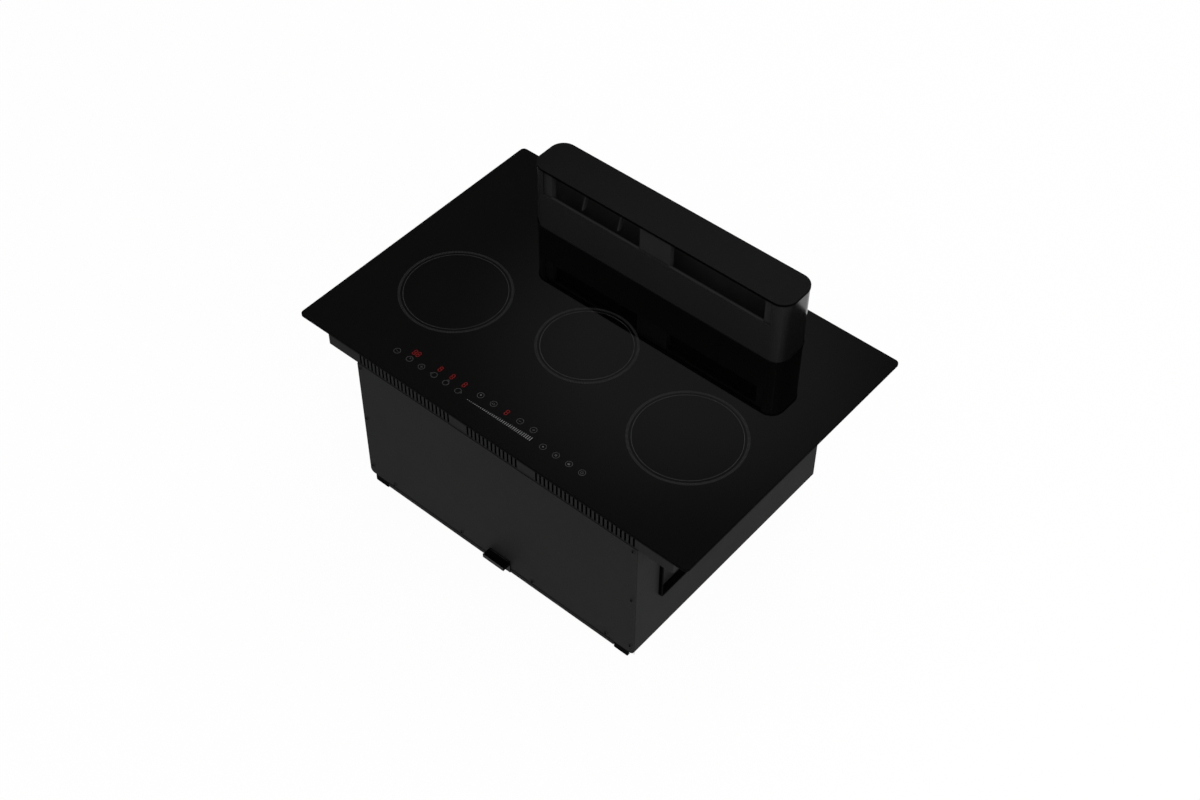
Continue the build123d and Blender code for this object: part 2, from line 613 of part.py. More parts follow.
def duct_form(inset, corner):
    """Solid that tapers in plan and in side view from the scroll's mouth to the collar, with cut corners."""
    near, far, t = MOUTH_X + 0.1, DUCT_END, SCROLL_T - inset
    half_w, half_h = DUCT_W / 2 - inset, DUCT_H / 2 - inset
    plan = Polyline((near, MOUTH_LOW - t), (far, DUCT_Y - half_w), (far, DUCT_Y + half_w),
                    (near, MOUTH_HIGH + t), close=True)
    side = Polyline((near, SHELF + inset), (far, DUCT_Z - half_h), (far, DUCT_Z + half_h),
                    (near, SCROLL_TOP - inset), close=True)
    form = extrude(make_face(plan), 250) & extrude(Plane.XZ * make_face(side), 250, both=True)
    long_edges = form.edges().filter_by(Axis.Y, reverse=True).filter_by(Axis.Z, reverse=True)
    return chamfer(long_edges, corner)


def outlet_duct():
    """Flared sheet duct from the scroll's mouth to the collar."""
    duct = duct_form(0, 3) - duct_form(SCROLL_T, 2.1)
    return duct - peg_y(2 + RUNNING, 12, FLAP_X, MOUTH_LOW - 8, MOUTH_HIGH + 140, FLAP_Z, inside=True)


def backdraft_flap():
    """Free-swinging plate on a cross rod that closes the duct when the blower stops."""
    share = (FLAP_X - MOUTH_X) / (DUCT_END - MOUTH_X)
    y0 = MOUTH_LOW + (DUCT_Y - DUCT_W / 2 - MOUTH_LOW) * share
    y1 = MOUTH_HIGH + (DUCT_Y + DUCT_W / 2 - MOUTH_HIGH) * share
    plate = block(FLAP_X - 0.6, FLAP_X + 0.6, y0 + 5.5, y1 - 5.5, FLAP_LOW, FLAP_Z)
    rod = bar_y(2.0, FLAP_X, y0 - 1.4, y1 + 1.5, FLAP_Z)
    return plate + rod


def outlet_collar():
    """Rectangular spigot with rounded corners and a flange inside the side wall."""
    across = Plane(origin=(DUCT_END + 0.1, DUCT_Y, DUCT_Z), x_dir=(0, 1, 0), z_dir=(1, 0, 0))
    length = BOX_W / 2 + COLLAR_OUT - DUCT_END - 0.1
    body = extrude(across * RectangleRounded(DUCT_W, DUCT_H, DUCT_R), length)
    y0, y1 = DUCT_Y - DUCT_W / 2, DUCT_Y + DUCT_W / 2
    z0, z1 = DUCT_Z - DUCT_H / 2, DUCT_Z + DUCT_H / 2
    body += block(WALL_IN - 2.5, WALL_IN, y0 - 9, y1 + 9, z0 - 9, z1 + 9)
    wall, stop = COLLAR_WALL, COLLAR_WALL + 2
    body -= block(COVER_X, BOX_W, y0 + wall, y1 - wall, z0 + wall, z1 - wall)
    return body - block(DUCT_END, BOX_W, y0 + stop, y1 - stop, z0 + stop, z1 - stop)


def outlet_cover():
    """Grey plate that blanks the collar until a duct is fitted."""
    half_w, half_h = DUCT_W / 2 - COLLAR_WALL - 0.2, DUCT_H / 2 - COLLAR_WALL - 0.2
    return block(COVER_X, COVER_X + 1.5, DUCT_Y - half_w, DUCT_Y + half_w, DUCT_Z - half_h, DUCT_Z + half_h)


# ---- fan box ----
def box_wrap():
    """Sides and back folded from one sheet, open in front and above."""
    half = BOX_W / 2
    front = BOX_FRONT + PANEL_T
    outer = block(-half, half, front, BOX_REAR, WRAP_LOW, TRAY_FLOOR)
    hollow = block(-WALL_IN, WALL_IN, front + SHEET, BOX_REAR - SHEET, WRAP_LOW + SHEET, TRAY_FLOOR - SHEET)
    wrap = outer - hollow
    wrap -= block(-WALL_IN + 8, WALL_IN - 8, front - 1, BOX_REAR - 9, TRAY_FLOOR - 3, TRAY_FLOOR + 1)
    wrap -= block(-PAN_HALF - 0.1, PAN_HALF + 0.1, front - 1, BOX_REAR - 7, WRAP_LOW - 1, WRAP_LOW + 3)
    wrap -= block(-half + 14, half - 14, front - 1, front + 3, WRAP_LOW - 1, TRAY_FLOOR + 1)
    wrap -= block(-PAN_HALF - 0.1, PAN_HALF + 0.1, front - 1, front + 3, WRAP_LOW - 1, PAN_TOP + 0.2)
    collar = Plane(origin=(half - 5, DUCT_Y, DUCT_Z), x_dir=(0, 1, 0), z_dir=(1, 0, 0))
    wrap -= extrude(collar * RectangleRounded(DUCT_W + 0.4, DUCT_H + 0.4, DUCT_R + 0.2), 12)
    for step in range(VENT_COUNT):
        y = -170 + step * 14
        wrap -= block(-half - 1, -half + 3, y, y + 5, 222, 256)
    for x, z in SIDE_SCREWS:
        wrap -= peg_y(SCREW_R, 6, x, front - 1, front + 3, z)
    return wrap


def front_panel():
    """Flat sheet front with rounded lower corners."""
    half = BOX_W / 2
    panel = block(-half, half, BOX_FRONT, BOX_FRONT + PANEL_T, PANEL_LOW, TRAY_FLOOR)
    lower = panel.edges().filter_by(Axis.Y).group_by(Axis.Z)[0]
    panel = fillet(lower, 8)
    for x, z in SIDE_SCREWS + FOOT_SCREWS:
        panel -= peg_y(SCREW_R, 6, x, BOX_FRONT - 1, BOX_FRONT + 3, z)
    return panel


def panel_screw(x, z):
    """Pan-head screw through the front panel."""
    head = peg_y(3.4, 8, x, BOX_FRONT - 1.8, BOX_FRONT, z)
    return head + peg_y(SCREW_R - 0.3, 4, x, BOX_FRONT, BOX_FRONT + 8, z)


def bottom_pan():
    """Pressed floor with an upstand all round, three stiffening beads and two drain holes."""
    low, high = PAN_LOW, PAN_TOP
    front, rear = BOX_FRONT + PANEL_T + 0.05, BOX_REAR - 7.2
    pan = block(-PAN_HALF, PAN_HALF, front, rear, low, high)
    pan = chamfer(pan.edges().filter_by(Axis.Z).sort_by(Axis.Y)[-2:], 5)
    pan -= block(-PAN_HALF + SHEET, PAN_HALF - SHEET, front + SHEET, rear - SHEET, low + SHEET, high + 1)
    for y in BEAD_Y:
        pan += block(-BEAD_HALF, BEAD_HALF, y - 12, y + 12, low + SHEET, low + SHEET + BEAD_RISE)
        pan -= block(-BEAD_HALF + 1, BEAD_HALF - 1, y - 11, y + 11, low - 1, low + BEAD_RISE)
    for x in (-120, 120):
        pan -= peg(9, 12, x, TOWER_Y, low - 1, low + 3)
    for x, z in FOOT_SCREWS:
        pan -= peg_y(SCREW_R, 6, x, front - 1, front + 3, z)
    return pan


def air_partition():
    """Shelf under the blower and the wall in front of the lift shaft."""
    front, top = BOX_FRONT + 6, TRAY_FLOOR - 1.6
    half = WALL_IN - 0.2
    part = block(-half, half, front, PARTITION_Y + SHEET, SHELF - SHEET, SHELF)
    part += block(-half, half, PARTITION_Y, PARTITION_Y + SHEET, SHELF - SHEET, top)
    part += block(-half, half, front, front + SHEET, SHELF - 14, SHELF)
    part -= peg(86, 28, BLOWER_X, BLOWER_Y, SHELF - 5, SHELF + 1)
    return part


# ---- runners and drip tray ----
def runner():
    """Right runner: square tube with a ledge that the drip tray slides on."""
    y0, y1 = BOX_FRONT + 4, 208.0
    tube = block(RUNNER_IN, RUNNER_OUT, y0, y1, 0, RUNNER_H)
    tube -= block(RUNNER_IN + SHEET, RUNNER_OUT - SHEET, y0 - 1, y1 + 1, SHEET, RUNNER_H - SHEET)
    return tube + block(RUNNER_IN - 8, RUNNER_IN, y0 + 8, y1, 2.6, 3.8)


def runner_plug(front):
    """Right plug: closes one end of the runner tube, face flush with the panel."""
    y0, y1 = (BOX_FRONT, BOX_FRONT + 4) if front else (208.0, 212.0)
    inner = BOX_FRONT + 12 if front else 200.0
    face = block(RUNNER_IN, RUNNER_OUT, y0, y1, 0, 13.3)
    face = chamfer(face.edges().filter_by(Axis.Y), 1.0)
    stem_y = (y1, inner) if front else (inner, y0)
    stem = block(RUNNER_IN + 1.3, RUNNER_OUT - 1.3, stem_y[0], stem_y[1], 1.3, 12.2)
    return face + stem


def drip_tray():
    """Shallow drawer of five sheet pieces: a floor between a front, a rear and two side strips."""
    half, front, rear = 239.6, BOX_FRONT, 196.0
    low, high = 4.0, 13.2
    in_half, in_front, in_rear = half - SHEET, front + SHEET, rear - SHEET
    floor = block(-in_half, in_half, in_front, in_rear, low, low + SHEET)
    strips = [block(-half, half, y0, y1, low, high) for y0, y1 in ((front, in_front), (in_rear, rear))]
    return [floor, *strips, *both_sides(block(in_half, half, in_front, in_rear, low, high))]


def tray_pull():
    """Steel angle on the drawer's front: an upright tab and a forward ledge with a lip."""
    x0, x1 = PULL_X - PULL_W / 2, PULL_X + PULL_W / 2
    face = BOX_FRONT - 0.2
    pull = block(x0, x1, face - 1.5, face, 4.5, PULL_TOP)
    pull += block(x0, x1, PULL_FRONT, face, PULL_TOP - 8, PULL_TOP - 6.8)
    pull += block(x0, x1, PULL_FRONT, PULL_FRONT + 1.2, PULL_TOP - 8, PULL_TOP)
    pull += block(x0, x1, BOX_FRONT - 0.2, BOX_FRONT, 4.5, 12.5)
    return pull


def pull_grip():
    """Black moulded filler with a dished finger rest."""
    x0, x1 = PULL_X - PULL_W / 2, PULL_X + PULL_W / 2
    y0, y1 = PULL_FRONT + 1.25, BOX_FRONT - 1.75
    grip = block(x0, x1, y0, y1, PULL_TOP - 6.8, PULL_TOP - 0.6)
    dish = Pos((x0 + x1) / 2, (y0 + y1) / 2, PULL_TOP + 38) * Rot(0, 90, 0) * Cylinder(40, PULL_W - 6)
    return grip - dish


# ---- mains connection ----
def terminal_box():
    """Moulded box under the tray's left rear, open towards the tray."""
    x0, x1, y0, y1 = -340.0, -286.0, 92.0, 188.0
    low, high = 238.0, TRAY_FLOOR - 0.1
    box = block(x0, x1, y0, y1, low, high)
    box = chamfer(box.edges().filter_by(Axis.Z), 3)
    box -= block(x0 + 2, x1 - 2, y0 + 2, y1 - 2, low + 2, high + 1)
    return box - peg_y(GLAND_BODY_R, 16, TERMINAL_X, y1 - 4, y1 + 1, GLAND_Z)


def terminal_block():
    """Six-way screw terminal inside the terminal box."""
    base = block(-330, -296, 100, 160, 240.1, 252)
    for step in range(6):
        y = 104 + step * 9.4
        base -= block(-327, -299, y, y + 5.4, 246, 253)
    return base


def cable_gland():
    """Hollow gland with a hexagonal nut outside the wall."""
    wall = 188.0
    body = peg_y(GLAND_BODY_R - 0.05, 16, TERMINAL_X, wall - 8, wall + 16, GLAND_Z)
    body += peg_y(13, 6, TERMINAL_X, wall, wall + 6, GLAND_Z)
    return body - bar_y(GLAND_BORE_R, TERMINAL_X, wall - 10, wall + 18, GLAND_Z)


# ---- write every node ----
save("glass_top", glass_top())
save("worktop_seal", worktop_seal())
save("slot_seal", slot_seal())
save("tower_well", tower_well())
save("hob_tray", hob_tray())
save("coil_deck", coil_deck())
for zone, (zone_x, zone_y, zone_r) in ZONES.items():
    save(f"coil_{zone}", coil(zone_x, zone_y, zone_r))
save("coil_carriers", *[coil_carrier(*zone) for zone in ZONES.values()])
save("mica_sheets", *[mica_sheet(*zone) for zone in ZONES.values()])
save("ferrite_bars", *[bar for zone in ZONES.values() for bar in ferrites(*zone)])
save("coil_springs", *[leaf for zone in ZONES.values() for leaf in coil_springs(*zone)])
save("coil_sensors", *[coil_sensor(x, y) for x, y, radius in ZONES.values()])
save("mains_filter_board", filter_board())
save("power_boards", *both_sides(power_board()))
save("heat_sinks", *both_sides(heat_sink()))
save("cooling_fan_frames", *[fan_frame(x, COOLING_Y) for x in (-COOLING_X, COOLING_X)])
save("cooling_fan_rotor_left", fan_rotor(-COOLING_X, COOLING_Y))
save("cooling_fan_rotor_right", fan_rotor(COOLING_X, COOLING_Y))
save("grease_filters", *both_sides(grease_filter()))
save("control_holder", control_holder())
save("control_board", control_board())
save("digit_modules", *digit_modules())
save("key_pads", *key_pads())
save("tower_cap", tower_cap())
save("tower_shell", tower_shell())
save("window_frame", window_frame())
save("cap_stiffener", cap_stiffener())
save("lift_brackets", *both_sides(lift_bracket()))
save("lift_racks", *both_sides(lift_rack()))
save("lift_pinions", *both_sides(lift_pinion()))
save("lift_shaft", lift_shaft())
save("shaft_bearings", *both_sides(shaft_bearing()))
save("lift_motor", lift_motor())
save("guide_rods", *both_sides(guide_rod()))
rod_foot = rod_bracket(PAN_HALF - SHEET, PAN_LOW + SHEET, 27)
rod_head = rod_bracket(WALL_IN, 264.8, 270.9)
save("rod_brackets", *both_sides(rod_foot), *both_sides(rod_head))
save("blower_scroll", blower_scroll())
save("scroll_lid", scroll_lid())
save("inlet_ring", inlet_ring())
save("impeller", impeller())
save("blower_shaft", blower_shaft())
save("blower_motor", blower_motor())
save("outlet_duct", outlet_duct())
save("backdraft_flap", backdraft_flap())
save("outlet_collar", outlet_collar())
save("outlet_cover", outlet_cover())
save("box_wrap", box_wrap())
save("front_panel", front_panel())
save("panel_screws", *[panel_screw(x, z) for x, z in SIDE_SCREWS + FOOT_SCREWS])
save("bottom_pan", bottom_pan())
save("air_partition", air_partition())
save("runners", *both_sides(runner()))
save("runner_plugs", *both_sides(runner_plug(True)), *both_sides(runner_plug(False)))
save("drip_tray", *drip_tray())
save("tray_pull", tray_pull())
save("pull_grip", pull_grip())
save("terminal_box", terminal_box())
save("terminal_block", terminal_block())
save("cable_gland", cable_gland())
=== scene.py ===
import json
import math

import bmesh
import bpy
from mathutils import Matrix, Vector


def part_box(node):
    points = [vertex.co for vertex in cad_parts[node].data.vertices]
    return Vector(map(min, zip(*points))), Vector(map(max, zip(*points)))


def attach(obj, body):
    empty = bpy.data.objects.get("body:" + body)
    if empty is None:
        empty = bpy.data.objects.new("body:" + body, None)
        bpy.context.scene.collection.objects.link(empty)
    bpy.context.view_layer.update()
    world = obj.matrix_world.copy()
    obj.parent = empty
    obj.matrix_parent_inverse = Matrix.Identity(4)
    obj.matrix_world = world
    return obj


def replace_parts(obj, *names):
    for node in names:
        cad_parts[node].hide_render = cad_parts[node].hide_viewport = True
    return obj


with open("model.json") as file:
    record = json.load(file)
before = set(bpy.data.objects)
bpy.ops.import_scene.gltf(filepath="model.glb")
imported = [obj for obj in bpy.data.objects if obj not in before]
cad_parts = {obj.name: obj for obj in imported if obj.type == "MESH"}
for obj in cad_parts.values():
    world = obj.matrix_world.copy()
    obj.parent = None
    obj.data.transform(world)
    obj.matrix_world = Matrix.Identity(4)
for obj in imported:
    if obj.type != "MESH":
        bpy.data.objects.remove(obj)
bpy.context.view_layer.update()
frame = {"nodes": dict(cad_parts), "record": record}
nodes = frame["nodes"]
MM = 0.001
MM_PER_METRE = 1000.0


# ---------------------------------------------------------------- node helpers
def fill(tree, node, inputs):
    """Sets a node's inputs; each is a value or another node's output."""
    for name, value in inputs.items():
        if isinstance(value, bpy.types.NodeSocket):
            tree.links.new(value, node.inputs[name])
        else:
            node.inputs[name].default_value = value


def add(tree, kind, inputs=None, **settings):
    """A new node with its settings and inputs."""
    node = tree.nodes.new(kind)
    for name, value in settings.items():
        setattr(node, name, value)
    fill(tree, node, inputs or {})
    return node


def math_node(tree, operation, a, b=0.0, clamp=False):
    return add(tree, "ShaderNodeMath", {0: a, 1: b}, operation=operation, use_clamp=clamp).outputs[0]


def mix_colour(tree, factor, a, b):
    node = add(tree, "ShaderNodeMix", data_type="RGBA")
    fill(tree, node, {0: factor, 6: a, 7: b})
    return node.outputs[2]


def remap(tree, value, low, high, to_low, to_high, interpolation="LINEAR"):
    return add(tree, "ShaderNodeMapRange", {
        "Value": value, "From Min": low, "From Max": high, "To Min": to_low, "To Max": to_high,
    }, interpolation_type=interpolation).outputs[0]


def object_place(tree):
    return add(tree, "ShaderNodeTexCoord").outputs["Object"]


def rgba(colour):
    """An opaque colour from a grey level or from red, green and blue."""
    return (*colour, 1.0) if isinstance(colour, tuple) else (colour, colour, colour, 1.0)


def new_group(name, inputs, outputs):
    """A shader node group: float inputs (name, default) and named float outputs, as sockets to link."""
    group = bpy.data.node_groups.new(name, "ShaderNodeTree")
    for label, default in inputs:
        socket = group.interface.new_socket(label, in_out="INPUT", socket_type="NodeSocketFloat")
        socket.default_value = default
    for label in outputs:
        group.interface.new_socket(label, in_out="OUTPUT", socket_type="NodeSocketFloat")
    return group, group.nodes.new("NodeGroupInput").outputs, group.nodes.new("NodeGroupOutput").inputs


# ---------------------------------------------------------------- shared surface effects
def make_grain_group():
    """Fine surface grain: a height for bump and a wider mottling, both 0 to 1."""
    group, given, out = new_group("surface_grain", [
        ("Grain Size mm", 0.6), ("Stretch X", 1.0), ("Stretch Y", 1.0), ("Stretch Z", 1.0),
        ("Mottle Size mm", 40.0)], ["Height", "Mottle"])
    place = object_place(group)
    stretch = add(group, "ShaderNodeCombineXYZ", {
        0: given["Stretch X"], 1: given["Stretch Y"], 2: given["Stretch Z"]}).outputs[0]
    stretched = add(group, "ShaderNodeVectorMath", {0: place, 1: stretch}, operation="MULTIPLY").outputs[0]
    fine = math_node(group, "DIVIDE", MM_PER_METRE, given["Grain Size mm"])
    wide = math_node(group, "DIVIDE", MM_PER_METRE, given["Mottle Size mm"])
    grain = add(group, "ShaderNodeTexNoise", {"Vector": stretched, "Scale": fine, "Detail": 2.0})
    mottle = add(group, "ShaderNodeTexNoise", {
        "Vector": place, "Scale": wide, "Detail": 4.0, "Roughness": 0.6})
    group.links.new(grain.outputs[0], out["Height"])
    group.links.new(remap(group, mottle.outputs[0], 0.3, 0.7, 0.0, 1.0), out["Mottle"])
    return group


def make_edge_group():
    """Rubbed edges: 1 on an outer edge and 0 on a flat, broken up by noise."""
    group, given, out = new_group("edge_wear", [("Width mm", 0.8), ("Breakup mm", 6.0)], ["Mask"])
    width = math_node(group, "MULTIPLY", given["Width mm"], MM)
    rounded = add(group, "ShaderNodeBevel", {"Radius": width}, samples=4).outputs[0]
    flat = add(group, "ShaderNodeNewGeometry").outputs["Normal"]
    alike = add(group, "ShaderNodeVectorMath", {0: rounded, 1: flat}, operation="DOT_PRODUCT")
    edge = remap(group, alike.outputs["Value"], 0.995, 0.85, 0.0, 1.0)
    scale = math_node(group, "DIVIDE", MM_PER_METRE, given["Breakup mm"])
    patches = add(group, "ShaderNodeTexNoise", {
        "Vector": object_place(group), "Scale": scale, "Detail": 3.0}).outputs[0]
    worn = remap(group, patches, 0.4, 0.65, 0.15, 1.0)
    group.links.new(math_node(group, "MULTIPLY", edge, worn), out["Mask"])
    return group


def make_marks_group():
    """Faint wipe marks and dust, 0 to 1, for the gloss of a handled surface."""
    group, given, out = new_group("wipe_marks", [("Size mm", 90.0), ("Amount", 1.0)], ["Mask"])
    scale = math_node(group, "DIVIDE", MM_PER_METRE, given["Size mm"])
    swirl = add(group, "ShaderNodeTexNoise", {
        "Vector": object_place(group), "Scale": scale, "Detail": 5.0, "Distortion": 1.4}).outputs[0]
    streaks = remap(group, swirl, 0.48, 0.72, 0.0, 1.0)
    group.links.new(math_node(group, "MULTIPLY", streaks, given["Amount"]), out["Mask"])
    return group


GRAIN = make_grain_group()
EDGES = make_edge_group()
MARKS = make_marks_group()


# ---------------------------------------------------------------- materials
def start_material(name):
    material = bpy.data.materials.new(name)
    material.use_nodes = True
    tree = material.node_tree
    return material, tree, tree.nodes["Principled BSDF"]


def finish(name, colours, rough, *, metallic=0.0, specular=0.5, ior=1.5, grain_mm=0.6, stretch=(1, 1, 1),
           bump_mm=0.02, mottle_mm=40, edge_mm=0.6, edge_colour=None, marks=0.0, marks_mm=90):
    """A worked finish: two mottled colours, each with its roughness, grain, rubbed edges and wipe marks."""
    material, tree, shader = start_material(name)
    grain = add(tree, "ShaderNodeGroup", node_tree=GRAIN)
    fill(tree, grain, {"Grain Size mm": grain_mm, "Mottle Size mm": mottle_mm, "Stretch X": stretch[0],
                       "Stretch Y": stretch[1], "Stretch Z": stretch[2]})
    height, mottle = grain.outputs["Height"], grain.outputs["Mottle"]
    shade = mix_colour(tree, mottle, rgba(colours[0]), rgba(colours[1]))
    roughness = remap(tree, mottle, 0.0, 1.0, *rough)
    if edge_colour:
        wear = add(tree, "ShaderNodeGroup", node_tree=EDGES)
        wear.inputs["Width mm"].default_value = edge_mm
        shade = mix_colour(tree, wear.outputs["Mask"], shade, rgba(edge_colour))
    if marks:
        wiped = add(tree, "ShaderNodeGroup", node_tree=MARKS)
        fill(tree, wiped, {"Size mm": marks_mm, "Amount": marks})
        roughness = math_node(tree, "ADD", roughness, wiped.outputs["Mask"], clamp=True)
    bump = add(tree, "ShaderNodeBump", {"Height": height, "Strength": 1.0, "Distance": bump_mm * MM})
    if edge_mm:
        rounded = add(tree, "ShaderNodeBevel", {"Radius": edge_mm * MM}, samples=4).outputs[0]
        tree.links.new(rounded, bump.inputs["Normal"])
    fill(tree, shader, {"Base Color": shade, "Roughness": roughness, "Normal": bump.outputs[0],
                        "Metallic": metallic, "Specular IOR Level": specular, "IOR": ior})
    return material


def black_glass():
    return finish("black_glass_ceramic", (0.0006, 0.0009), (0.010, 0.020), ior=1.9, grain_mm=30,
                  bump_mm=0.0004, mottle_mm=120, edge_mm=0, marks=0.015, marks_mm=130)


def ground_edge_and_shade():
    """Matte black of the glass's ground rim, and painted shade on cut edges, inner faces, gaps and screw
    recesses.
    """
    return finish("black_ground_edge_and_shade", (0.0008, 0.0014), (0.55, 0.65), specular=0.01, grain_mm=0.3,
                  bump_mm=0.004, mottle_mm=12, edge_mm=0)


def powder_black():
    return finish("black_powder_coat", (0.0144, 0.0158), (0.54, 0.60), specular=0.02, grain_mm=0.9,
                  bump_mm=0.012, mottle_mm=60, edge_mm=0.5, edge_colour=0.026, marks=0.03)


def tower_enamel():
    """Black lacquer, darker round the two ends of the tower: painted shade on the faces turned sideways."""
    material = finish("black_gloss_enamel", (0.0142, 0.0148), (0.16, 0.20), specular=0.35, grain_mm=14,
                      bump_mm=0.0006, mottle_mm=80, edge_mm=0, marks=0.02)
    tree = material.node_tree
    shader = tree.nodes["Principled BSDF"]
    facing = add(tree, "ShaderNodeNewGeometry").outputs["Normal"]
    sideways = math_node(tree, "ABSOLUTE", add(tree, "ShaderNodeSeparateXYZ", {0: facing}).outputs["X"])
    # Painted shade: faces turned sideways, at the tower's rounded ends, take a darker base colour.
    painted_end_shade = remap(tree, sideways, 0.60, 0.95, 0.0, 1.0)
    front = shader.inputs["Base Color"].links[0].from_socket
    tree.links.new(mix_colour(tree, painted_end_shade, front, rgba(0.0045)), shader.inputs["Base Color"])
    return material


def tower_inside():
    """Dull grey primer on the inner faces of the tower."""
    return finish("grey_primer", (0.028, 0.034), (0.70, 0.80), specular=0.02, grain_mm=1.2, bump_mm=0.01,
                  mottle_mm=40, edge_mm=0)


def frame_black():
    return finish("satin_black_frame", (0.020, 0.023), (0.50, 0.60), specular=0.02, grain_mm=0.8,
                  bump_mm=0.006, mottle_mm=50, edge_mm=0.3)


def brace_grey():
    return finish("grey_brace", (0.018, 0.022), (0.55, 0.65), specular=0.02, grain_mm=0.8, bump_mm=0.006,
                  mottle_mm=30, edge_mm=0.3)


# Painted highlight: a grey a little lighter than the tower's black, for the strip along the sill.
def highlight_grey():
    return finish("painted_highlight_grey", (0.015, 0.018), (0.40, 0.50), specular=0.02, grain_mm=0.5, bump_mm=0.002,
                  mottle_mm=25, edge_mm=0)


def cap_plate():
    return finish("black_cap_plate", (0.0058, 0.0064), (0.12, 0.18), grain_mm=12, bump_mm=0.0006,
                  mottle_mm=90, edge_mm=0, marks=0.03)


def filter_wire():
    return finish("filter_wire", ((0.10, 0.10, 0.102), (0.13, 0.13, 0.132)), (0.45, 0.60), metallic=0.3,
                  grain_mm=0.5, bump_mm=0.004, mottle_mm=12, edge_mm=0)


def pull_steel():
    return finish("dull_pull_steel", ((0.024, 0.024, 0.0245), (0.031, 0.031, 0.0315)), (0.40, 0.50),
                  specular=0.02, grain_mm=0.4, stretch=(0.05, 1, 1), bump_mm=0.004, mottle_mm=15,
                  edge_mm=0.3)


def galvanised():
    return finish("galvanised_sheet", ((0.36, 0.37, 0.38), (0.46, 0.47, 0.48)), (0.30, 0.48),
                  metallic=1.0, grain_mm=3.5, bump_mm=0.010, mottle_mm=9, edge_mm=0.5,
                  edge_colour=(0.62, 0.63, 0.65), marks=0.1)


def mill_aluminium():
    return finish("mill_aluminium", ((0.62, 0.63, 0.64), (0.72, 0.73, 0.74)), (0.28, 0.40), metallic=1.0,
                  grain_mm=0.5, stretch=(0.02, 1, 1), bump_mm=0.006, mottle_mm=35, edge_mm=0.4,
                  edge_colour=(0.85, 0.85, 0.86))


def ground_steel():
    return finish("ground_steel", ((0.50, 0.51, 0.52), (0.58, 0.59, 0.60)), (0.16, 0.24), metallic=1.0,
                  grain_mm=0.25, stretch=(1, 1, 0.2), bump_mm=0.002, mottle_mm=25, edge_mm=0.3,
                  edge_colour=(0.7, 0.7, 0.72))


def moulded_black():
    return finish("moulded_black", (0.0012, 0.0020), (0.50, 0.62), specular=0.003, grain_mm=0.35,
                  bump_mm=0.010, mottle_mm=30, edge_mm=0.5, edge_colour=0.003, marks=0.03)


def cover_grey():
    return finish("satin_grey_plate", (0.011, 0.013), (0.50, 0.60), specular=0.02, grain_mm=0.5,
                  bump_mm=0.006, mottle_mm=45, edge_mm=0.4)


def foam_seal():
    return finish("foam_seal", (0.010, 0.018), (0.85, 0.95), specular=0.2, grain_mm=0.7, bump_mm=0.12,
                  mottle_mm=6, edge_mm=0.8)


def sintered_ferrite():
    return finish("sintered_ferrite", ((0.035, 0.035, 0.038), (0.055, 0.055, 0.058)), (0.55, 0.70),
                  grain_mm=0.3, bump_mm=0.02, mottle_mm=5, edge_mm=0.3, edge_colour=0.12)


def mica_paper():
    return finish("mica_paper", ((0.34, 0.28, 0.20), (0.50, 0.43, 0.32)), (0.35, 0.60), grain_mm=2.0,
                  bump_mm=0.02, mottle_mm=6, edge_mm=0.2)


def natural_acetal():
    return finish("natural_acetal", ((0.60, 0.59, 0.55), (0.68, 0.67, 0.63)), (0.30, 0.40), grain_mm=0.4,
                  bump_mm=0.008, mottle_mm=20, edge_mm=0.4, edge_colour=(0.75, 0.74, 0.70))


def copper_winding(name, centre):
    """Enamelled copper strands: fine turns round the coil's middle."""
    material = finish(name, ((0.42, 0.16, 0.06), (0.55, 0.24, 0.10)), (0.25, 0.38), metallic=1.0,
                      grain_mm=0.8, bump_mm=0.01, mottle_mm=12, edge_mm=0.3)
    tree = material.node_tree
    shader = tree.nodes["Principled BSDF"]
    moved = add(tree, "ShaderNodeMapping", {
        "Vector": object_place(tree), "Location": (-centre.x, -centre.y, 0.0)}).outputs[0]
    turns = add(tree, "ShaderNodeTexWave", {"Vector": moved, "Scale": 80.0}, wave_type="RINGS",
                rings_direction="Z").outputs["Fac"]
    before = shader.inputs["Normal"].links[0].from_socket
    bump = add(tree, "ShaderNodeBump", {
        "Height": turns, "Strength": 1.0, "Distance": 0.5 * MM, "Normal": before})
    tree.links.new(bump.outputs[0], shader.inputs["Normal"])
    return material


def circuit_board():
    """Green solder mask with copper tracks showing through."""
    material = finish("circuit_board", ((0.006, 0.060, 0.022), (0.009, 0.080, 0.030)), (0.22, 0.34),
                      grain_mm=0.5, bump_mm=0.006, mottle_mm=30, edge_mm=0.3,
                      edge_colour=(0.20, 0.22, 0.12))
    tree = material.node_tree
    shader = tree.nodes["Principled BSDF"]
    tracks = add(tree, "ShaderNodeTexBrick", {
        "Vector": object_place(tree), "Scale": 90.0, "Mortar Size": 0.012, "Color1": rgba(0.0),
        "Color2": rgba(0.0), "Mortar": rgba(1.0)}).outputs["Color"]
    before = shader.inputs["Base Color"].links[0].from_socket
    track_green = rgba((0.020, 0.16, 0.05))
    tree.links.new(mix_colour(tree, tracks, before, track_green), shader.inputs["Base Color"])
    return material


def printed_ink(name, colour, glow=0.0):
    """Enamel print fired on the glass; glow is for the lit red digits."""
    thinner = tuple(c * 0.85 for c in colour)
    material = finish(name, (colour, thinner), (0.30, 0.45), grain_mm=0.3, bump_mm=0.002, mottle_mm=8,
                      edge_mm=0.1)
    if glow:
        tree = material.node_tree
        shader = tree.nodes["Principled BSDF"]
        tree.links.new(shader.inputs["Base Color"].links[0].from_socket, shader.inputs["Emission Color"])
        shader.inputs["Emission Strength"].default_value = glow
    return material


